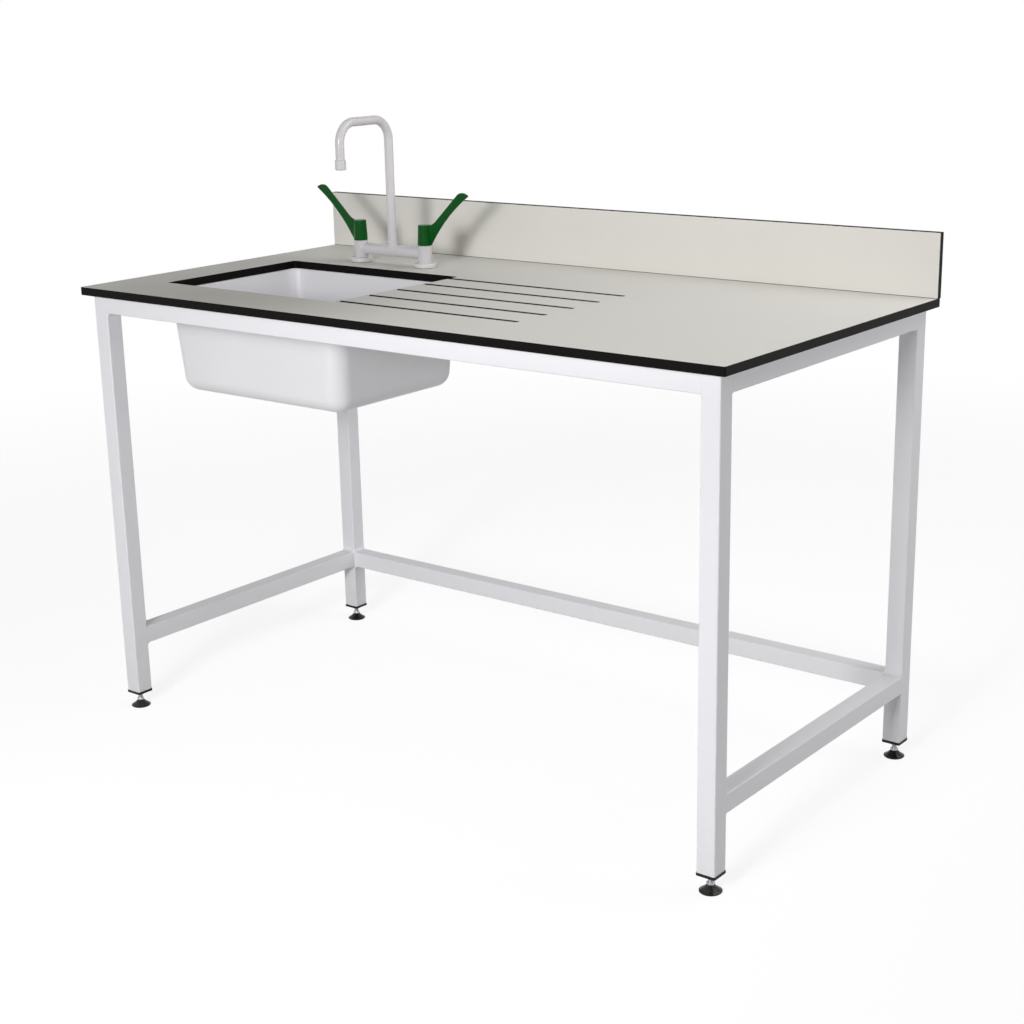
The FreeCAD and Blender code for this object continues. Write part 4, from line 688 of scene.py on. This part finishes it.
# ------------------------------------------------------------------------------------------
# Worktop and upstand: compact laminate, a black kraft core pressed between pale decor sheets.
# Sawn edges, the cut-out and the routed drainer grooves show the core and its fine layers.
# ------------------------------------------------------------------------------------------
def compact_laminate():
    """Decor on the flat faces of both boards, layered core on everything that was cut."""
    finish, tree, sockets = start_finish("compact_laminate", {"Specular IOR Level": 0.07,
                                                               "Coat Roughness": 0.32})
    spot = own_place(tree)
    part = axes(tree, spot)
    face = put(tree, "ShaderNodeNewGeometry", {}).outputs["Normal"]
    look = axes(tree, face)

    def sheet(axis, level):
        """1 on a flat face of a board at this level, 0 where it was cut."""
        off = reckon(tree, "ABSOLUTE", reckon(tree, "SUBTRACT", part[axis], level))
        near = reckon(tree, "LESS_THAN", off, 0.00015)
        square = reckon(tree, "GREATER_THAN", reckon(tree, "ABSOLUTE", look[axis]), 0.9)
        return reckon(tree, "MULTIPLY", near, square)

    top, underside, strip_front, strip_back = 0.9, 0.884, 0.362, 0.375
    board = reckon(tree, "MAXIMUM", sheet("Z", top), sheet("Z", underside))
    above = reckon(tree, "GREATER_THAN", part["Z"], top + 0.0009)
    strip = reckon(tree, "MAXIMUM", sheet("Y", strip_front), sheet("Y", strip_back))
    decor = reckon(tree, "MAXIMUM", board, reckon(tree, "MULTIPLY", strip, above))
    # The edges of the grooves are eased by 2 mm and show the core.
    first, pitch, last, basin_end, far_end = -0.230, 0.081, 4.0, -0.181, 0.242
    row = reckon(tree, "MULTIPLY", reckon(tree, "SUBTRACT", part["Y"], first), 1 / pitch)
    nearest = reckon(tree, "MINIMUM", reckon(tree, "MAXIMUM", row, 0.0), last)
    nearest = reckon(tree, "ROUND", nearest)
    off = reckon(tree, "ABSOLUTE", reckon(tree, "SUBTRACT", row, nearest))
    half = band(tree, part["X"], basin_end, far_end, 0.0066 / pitch, 0.0058 / pitch)
    eased = reckon(tree, "LESS_THAN", off, half)
    within = reckon(tree, "MULTIPLY", reckon(tree, "GREATER_THAN", part["X"], basin_end - 0.001),
                    reckon(tree, "LESS_THAN", part["X"], far_end + 0.0015))
    within = reckon(tree, "MULTIPLY", within, reckon(tree, "GREATER_THAN", part["Z"], top - 0.001))
    eased = reckon(tree, "MULTIPLY", eased, within)
    decor = reckon(tree, "MULTIPLY", decor, reckon(tree, "SUBTRACT", 1.0, eased))

    pearl = noise(tree, 900.0, 3.0)
    cloud = noise(tree, 3.5, 4.0, 0.6)
    pale = blend(tree, cloud, paint(229, 227, 221), paint(236, 234, 228))
    pale = blend(tree, band(tree, pearl, 0.35, 0.75, 0.0, 0.3), pale, paint(212, 209, 201))
    # Painted shade: the decor is greyed round the basin and darker still towards the front left of
    # the top, where less light falls on it.
    shade_round_basin = reckon(tree, "MULTIPLY", band(tree, part["X"], 0.35, -0.6, smooth=True),
                   band(tree, part["Y"], 0.3, 0.0, smooth=True))
    shade_round_basin = reckon(tree, "MULTIPLY", shade_round_basin, band(tree, cloud, 0.2, 0.8, 0.4, 0.7))
    pale = blend(tree, shade_round_basin, pale, paint(188, 185, 180))
    # Painted shade, darkest round a spot at the front left of the top.
    shade_spot = put(tree, "ShaderNodeMapping", {"Vector": spot, "Location": (0.84, 0.82, -2.25),
                                           "Scale": (2.1, 2.5, 2.5)})
    away = put(tree, "ShaderNodeVectorMath", {0: shade_spot.outputs[0]}, operation="LENGTH")
    shade_front_left = reckon(tree, "MULTIPLY", band(tree, away.outputs["Value"], 1.0, 0.1, smooth=True),
                    band(tree, cloud, 0.2, 0.8, 0.75, 0.95))
    pale = blend(tree, shade_front_left, pale, paint(176, 173, 166))
    layers = put(tree, "ShaderNodeMapping", {"Vector": spot, "Scale": (6.0, 6.0, 2600.0)})
    kraft = noise(tree, 1.0, 2.0, 0.5, layers.outputs[0])
    core = blend(tree, kraft, paint(5, 4, 4), paint(15, 13, 12))
    tree.links.new(blend(tree, decor, core, pale), sockets["Base Color"])

    satin = band(tree, noise(tree, 11.0, 5.0, 0.6), 0.0, 1.0, 0.46, 0.62)
    sawn = band(tree, kraft, 0.0, 1.0, 0.42, 0.62)
    tree.links.new(put(tree, "ShaderNodeMix", {0: decor, 2: sawn, 3: satin}).outputs[0],
                   sockets["Roughness"])
    tree.links.new(reckon(tree, "MULTIPLY", decor, 0.05), sockets["Coat Weight"])
    relief = put(tree, "ShaderNodeMix", {0: decor, 2: kraft, 3: pearl}).outputs[0]
    lift(tree, sockets, relief, 0.00004)
    return finish


refinish(compact_laminate(), "worktop", "upstand")


# ------------------------------------------------------------------------------------------
# Screws of the worktop: zinc plated, pan heads in the tubes of the stand and countersunk ones
# up into the upstand, all with a cross recess and driven to no particular turn.
# ------------------------------------------------------------------------------------------
def cross(reach, width):
    """Outline of a cross recess at each angle."""
    def outline(angle):
        off = abs(math.sin((angle + math.pi / 4) % (math.pi / 2) - math.pi / 4))
        return min(reach, width / 2 / max(off, 0.01))
    return outline


def screw(head, radius, pitch, finish, head_points, length):
    """Screw with its head down at height 0 and its shank up: recess, head, thread, point."""
    recess = [(0, head * 0.45), (cross(head * 0.3, head * 0.14), head * 0.42),
              (cross(head * 0.52, head * 0.26), 0)]
    start = head_points[-1][1] + 0.6
    tip = length - 3 * radius * 0.5
    shank = fine_rows(radius, start, tip, pitch, 6)
    point = [(radius * 0.35, length - 0.3), (0, length)]
    profile = recess + head_points + [(radius, start - 0.4)] + shank + point
    return threaded(turned("screw", profile, sides=36), radius, radius * 0.24, pitch, start,
                    tip + pitch, finish)


pan_head = screw(5.5, radius=3.0, pitch=1.4, finish=zinc, length=14.5,
                 head_points=[(4.6, 0), (5.3, 0.6), (5.5, 1.4), (5.5, 3.4), (3.0, 3.5)])
HEAD_SEAT, UPSTAND_Y, TOP_UNDER = 878.5, 368.5, 884
marks = ([((x, y, HEAD_SEAT), UPRIGHT) for x in (-660, -220, 220, 660) for y in (-LEG_Y, LEG_Y)]
         + [((x, y, HEAD_SEAT), UPRIGHT) for x in (-LEG_X, LEG_X) for y in (-200, 200)])
seat("stand_screws", repeat(pan_head, marks, zinc, chance=1.5, seed=11), "bench",
     ["worktop_screws"])

flush_head = screw(4.0, radius=2.0, pitch=1.2, finish=zinc, length=50.0,
                   head_points=[(4.0, 0), (4.0, 0.15), (2.0, 2.1)])
marks = [((x, UPSTAND_Y, TOP_UNDER), UPRIGHT) for x in (-700, -420, -140, 140, 420, 700)]
seat("flush_screws", repeat(flush_head, marks, zinc, chance=1.5, seed=5), "bench",
     ["upstand_screws"])


# ------------------------------------------------------------------------------------------
# Basin: one moulding of white mineral resin with a smooth gel coat, clipped up under the
# worktop. Its coat has slow waves, and water leaves a trace of lime round the outlet.
# ------------------------------------------------------------------------------------------
def gel_coat():
    """White gel coat, a little yellowed by lime towards the outlet."""
    finish, tree, sockets = start_finish("white_gel_coat", {"Specular IOR Level": 0.5})
    skin = effect(tree, peel, Peel=34.0, Cloud=6.0)
    spot = own_place(tree)
    outlet = put(tree, "ShaderNodeMapping", {"Vector": spot, "Location": (0.411, 0.061, -0.688)})
    away = put(tree, "ShaderNodeVectorMath", {0: outlet.outputs[0]}, operation="LENGTH")
    lime = reckon(tree, "MULTIPLY", band(tree, away.outputs["Value"], 0.16, 0.04, 0.0, 0.35),
                  skin["Cloudiness"])
    tone = blend(tree, skin["Cloudiness"], paint(226, 225, 228), paint(232, 231, 234))
    tree.links.new(blend(tree, lime, tone, paint(206, 202, 192)), sockets["Base Color"])
    tree.links.new(band(tree, skin["Cloudiness"], 0.2, 0.8, 0.29, 0.38), sockets["Roughness"])
    lift(tree, sockets, skin["Height"], 0.0001)
    return finish


refinish(gel_coat(), "sink_basin")


# ------------------------------------------------------------------------------------------
# Silicone: one white bead between basin flange and worktop, smoothed with a wet finger, which
# leaves it slightly uneven.
# ------------------------------------------------------------------------------------------
silicone = moulding("white_silicone", paint(222, 222, 218), worn=paint(230, 230, 228), rough=0.38,
                    grain=260.0, depth=0.0001)
refinish(silicone, "sink_seal")


# ------------------------------------------------------------------------------------------
# Clips: bent strips of stainless sheet that press the flange up, each held by one pan head
# screw from below.
# ------------------------------------------------------------------------------------------
def rolled_sheet():
    """Stainless sheet with the grain of its rolling along X."""
    finish, tree, sockets = start_finish("rolled_stainless", {"Metallic": 1.0})
    spot = own_place(tree)
    grain = put(tree, "ShaderNodeMapping", {"Vector": spot, "Scale": (60.0, 1400.0, 900.0)})
    brushed = noise(tree, 1.0, 3.0, 0.6, grain.outputs[0])
    wear = effect(tree, worn_corner, Width=0.0006, Patches=200.0)
    tone = blend(tree, brushed, paint(188, 188, 186), paint(214, 214, 212))
    tree.links.new(blend(tree, wear["Mask"], tone, paint(236, 236, 236)), sockets["Base Color"])
    tree.links.new(band(tree, brushed, 0.2, 0.8, 0.29, 0.42), sockets["Roughness"])
    lift(tree, sockets, brushed, 0.000015)
    return finish


stainless = rolled_sheet()
refinish(stainless, "sink_clips")
clip_head = screw(4.5, radius=2.4, pitch=1.3, finish=zinc, length=23.0,
                  head_points=[(3.7, 0), (4.3, 0.5), (4.5, 1.2), (4.5, 2.9), (2.4, 3.0)])
BASIN_X, BASIN_Y, CLIP_UNDER = -411, -61, 869
marks = [((BASIN_X + step, BASIN_Y + side * 221.5, CLIP_UNDER), UPRIGHT)
         for side in (-1, 1) for step in (-151.5, 151.5)]
marks += [((BASIN_X + side * 270, BASIN_Y + step, CLIP_UNDER), UPRIGHT)
          for side in (-1, 1) for step in (-103, 103)]
seat("clip_screws", repeat(clip_head, marks, zinc, chance=1.5, seed=2), "bench",
     ["sink_clip_screws"])


# ------------------------------------------------------------------------------------------
# Waste: satin stainless flange with a cross grate and a 1 1/2 inch threaded tail, pulled down
# on a rubber gasket by a white plastic back nut and its washer under the basin.
# ------------------------------------------------------------------------------------------
satin_steel = bare_metal("satin_steel", paint(216, 216, 214), dim=paint(190, 190, 190), rough=0.35,
                         depth=0.00001)
TAIL, TAIL_PITCH, TAIL_BORE, FLANGE = 23.9, 2.309, 20, 42
tail = ([(TAIL_BORE, 642), (TAIL - 1, 642)] + fine_rows(TAIL, 643, 660, TAIL_PITCH)
        + [(23.2, 660.05), (23.2, 662.45)] + fine_rows(TAIL, 662.5, 684.9, TAIL_PITCH))
flange = [(FLANGE, 685), (FLANGE, 686.4), (41.6, 687.2), (40.6, 687.8), (39.4, 688), (22.4, 688),
          (21.0, 687.6), (20.2, 686.8), (TAIL_BORE, 685.6)]
blank = turned("waste", tail + flange, sides=96, hollow=True)
waste = threaded(blank, TAIL, 1.0, TAIL_PITCH, 643.0, 685.0, satin_steel)
shape = bmesh.new()
shape.from_mesh(waste)
bar = [(-1.5, 682), (1.5, 682), (1.5, 684.2), (0.8, 684.9), (-0.8, 684.9), (-1.5, 684.2)]
bar_end = TAIL_BORE + 0.6
for along_x in (False, True):
    ends = []
    for reach in (-bar_end, bar_end):
        spots = [(reach, across, height) if along_x else (-across, reach, height)
                 for across, height in bar]
        ends.append([shape.verts.new(spot) for spot in spots])
    for step in range(len(bar)):
        after = (step + 1) % len(bar)
        shape.faces.new((ends[0][step], ends[1][step], ends[1][after], ends[0][after]))
    shape.faces.new(ends[0])
    shape.faces.new(ends[1][::-1])
bmesh.ops.recalc_face_normals(shape, faces=shape.faces)
shape.to_mesh(waste)
shape.free()
seat("waste_with_thread", waste, "bench", ["waste_flange"], (BASIN_X, BASIN_Y, 0))
white_plastic = moulding("white_plastic", paint(226, 226, 224), worn=paint(238, 238, 238),
                         rough=0.36, grain=1200.0, depth=0.00003)
refinish(white_plastic, "waste_back_nut")
rubber = moulding("black_rubber", paint(20, 20, 20), worn=paint(48, 48, 48), rough=0.62,
                  grain=900.0, depth=0.00005, shine=0.35)
refinish(rubber, "waste_gasket", "waste_washer")


# ------------------------------------------------------------------------------------------
# Tap: a cast bridge body on two round flanges, its swan neck, collar nut and outlet, all
# under one pale grey epoxy coat, fine and half gloss, that chemicals don't stain.
# ------------------------------------------------------------------------------------------
grey_epoxy = baked_coat("grey_epoxy", paint(212, 209, 212), thin=paint(188, 186, 188), rough=0.2,
                        grain=900.0, depth=0.00003, dusty=0.0, shine=0.5)
refinish(grey_epoxy, "tap_body", "tap_flange_left", "tap_flange_right", "spout_tube",
         "spout_outlet", "spout_collar_nut")
refinish(rubber, "spout_orings")


# ------------------------------------------------------------------------------------------
# Valves: machined brass cartridges in the pillars and the spindles that the levers turn.
# ------------------------------------------------------------------------------------------
brass = bare_metal("machined_brass", paint(214, 184, 112), dim=paint(176, 142, 78), rough=0.34,
                   depth=0.00001)
refinish(brass, "valve_cartridge_left", "valve_cartridge_right", "valve_spindle_left",
         "valve_spindle_right")


# ------------------------------------------------------------------------------------------
# Elbow levers: dark green glass-filled nylon, moulded in one with the cap over the valve, and
# held to the spindle by a socket screw.
# ------------------------------------------------------------------------------------------
def green_nylon():
    """Glossy moulded nylon with faint flow lines out along the blade."""
    finish, tree, sockets = start_finish("green_nylon", {"Specular IOR Level": 0.12})
    spot = own_place(tree)
    flow = put(tree, "ShaderNodeMapping", {"Vector": spot, "Scale": (1.0, 1.0, 0.3)})
    streak = noise(tree, 130.0, 3.0, 0.5, flow.outputs[0])
    skin = effect(tree, peel, Peel=1500.0, Cloud=40.0)
    wear = effect(tree, worn_corner, Width=0.001, Patches=200.0)
    tone = blend(tree, streak, paint(0, 72, 16), paint(2, 88, 26))
    tone = blend(tree, reckon(tree, "MULTIPLY", wear["Mask"], 0.3), tone, paint(40, 122, 70))
    tree.links.new(tone, sockets["Base Color"])
    tree.links.new(band(tree, skin["Cloudiness"], 0.2, 0.8, 0.1, 0.18), sockets["Roughness"])
    lift(tree, sockets, skin["Height"], 0.00002)
    return finish


refinish(green_nylon(), "lever_left", "lever_right")
PILLARS, TAP_Y = {"left": -506.5, "right": -325.5}, 189
GRUB, GRUB_PITCH, SPINDLE, GRUB_Z = 1.95, 0.7, 4.05, 966.3
key = hexagon(2.0)
grub = ([(0, 0), (1.2, 0)] + fine_rows(GRUB, 0.7, 6.5, GRUB_PITCH, 6)
        + [(1.6, 7.0), (key, 7.0), (key, 5.2), (0, 5.0)])
for side, x in PILLARS.items():
    inward = 1 if side == "left" else -1
    blank = turned("socket_screw", grub, sides=36)
    screwed = threaded(blank, GRUB, 0.3, GRUB_PITCH, 0.7, 7.2, zinc)
    seat("socket_screw_" + side, screwed, "lever_" + side, ["lever_screw_" + side],
         (x + inward * SPINDLE, TAP_Y, GRUB_Z), Matrix.Rotation(inward * math.pi / 2, 4, "Y"))


# ------------------------------------------------------------------------------------------
# Inlets: 1/2 inch brass tails through the worktop, a black gasket under each flange, and a
# rubber washer with a brass back nut that pulls the tap down.
# ------------------------------------------------------------------------------------------
INLET, INLET_PITCH, INLET_BORE = 10.48, 1.814, 6
inlet = ([(INLET_BORE, 839), (9.5, 839)] + fine_rows(INLET, 840, 869, INLET_PITCH)
         + [(9.78, 869.05), (9.78, 871.45)] + fine_rows(INLET, 871.5, 900.9, INLET_PITCH)
         + [(8.9, 901), (8.9, 910.4), (8.4, 911), (6.5, 911), (INLET_BORE, 910.5)])
for side, x in PILLARS.items():
    blank = turned("inlet_tail", inlet, sides=64, hollow=True)
    seat("threaded_inlet_" + side, threaded(blank, INLET, 0.85, INLET_PITCH, 840.0, 901.0, brass),
         "bench", ["inlet_tail_" + side], (x, TAP_Y, 0))
inlet_nut = nut("back_nut", flats=30, bore=10.63, foot=872, top=881, chamfer=1.3)
marks = [((x, TAP_Y, 0), UPRIGHT) for x in PILLARS.values()]
seat("brass_back_nuts", repeat(inlet_nut, marks, brass, chance=1.05, seed=4), "bench",
     ["tap_back_nuts"])
refinish(rubber, "tap_gaskets", "tap_washers")
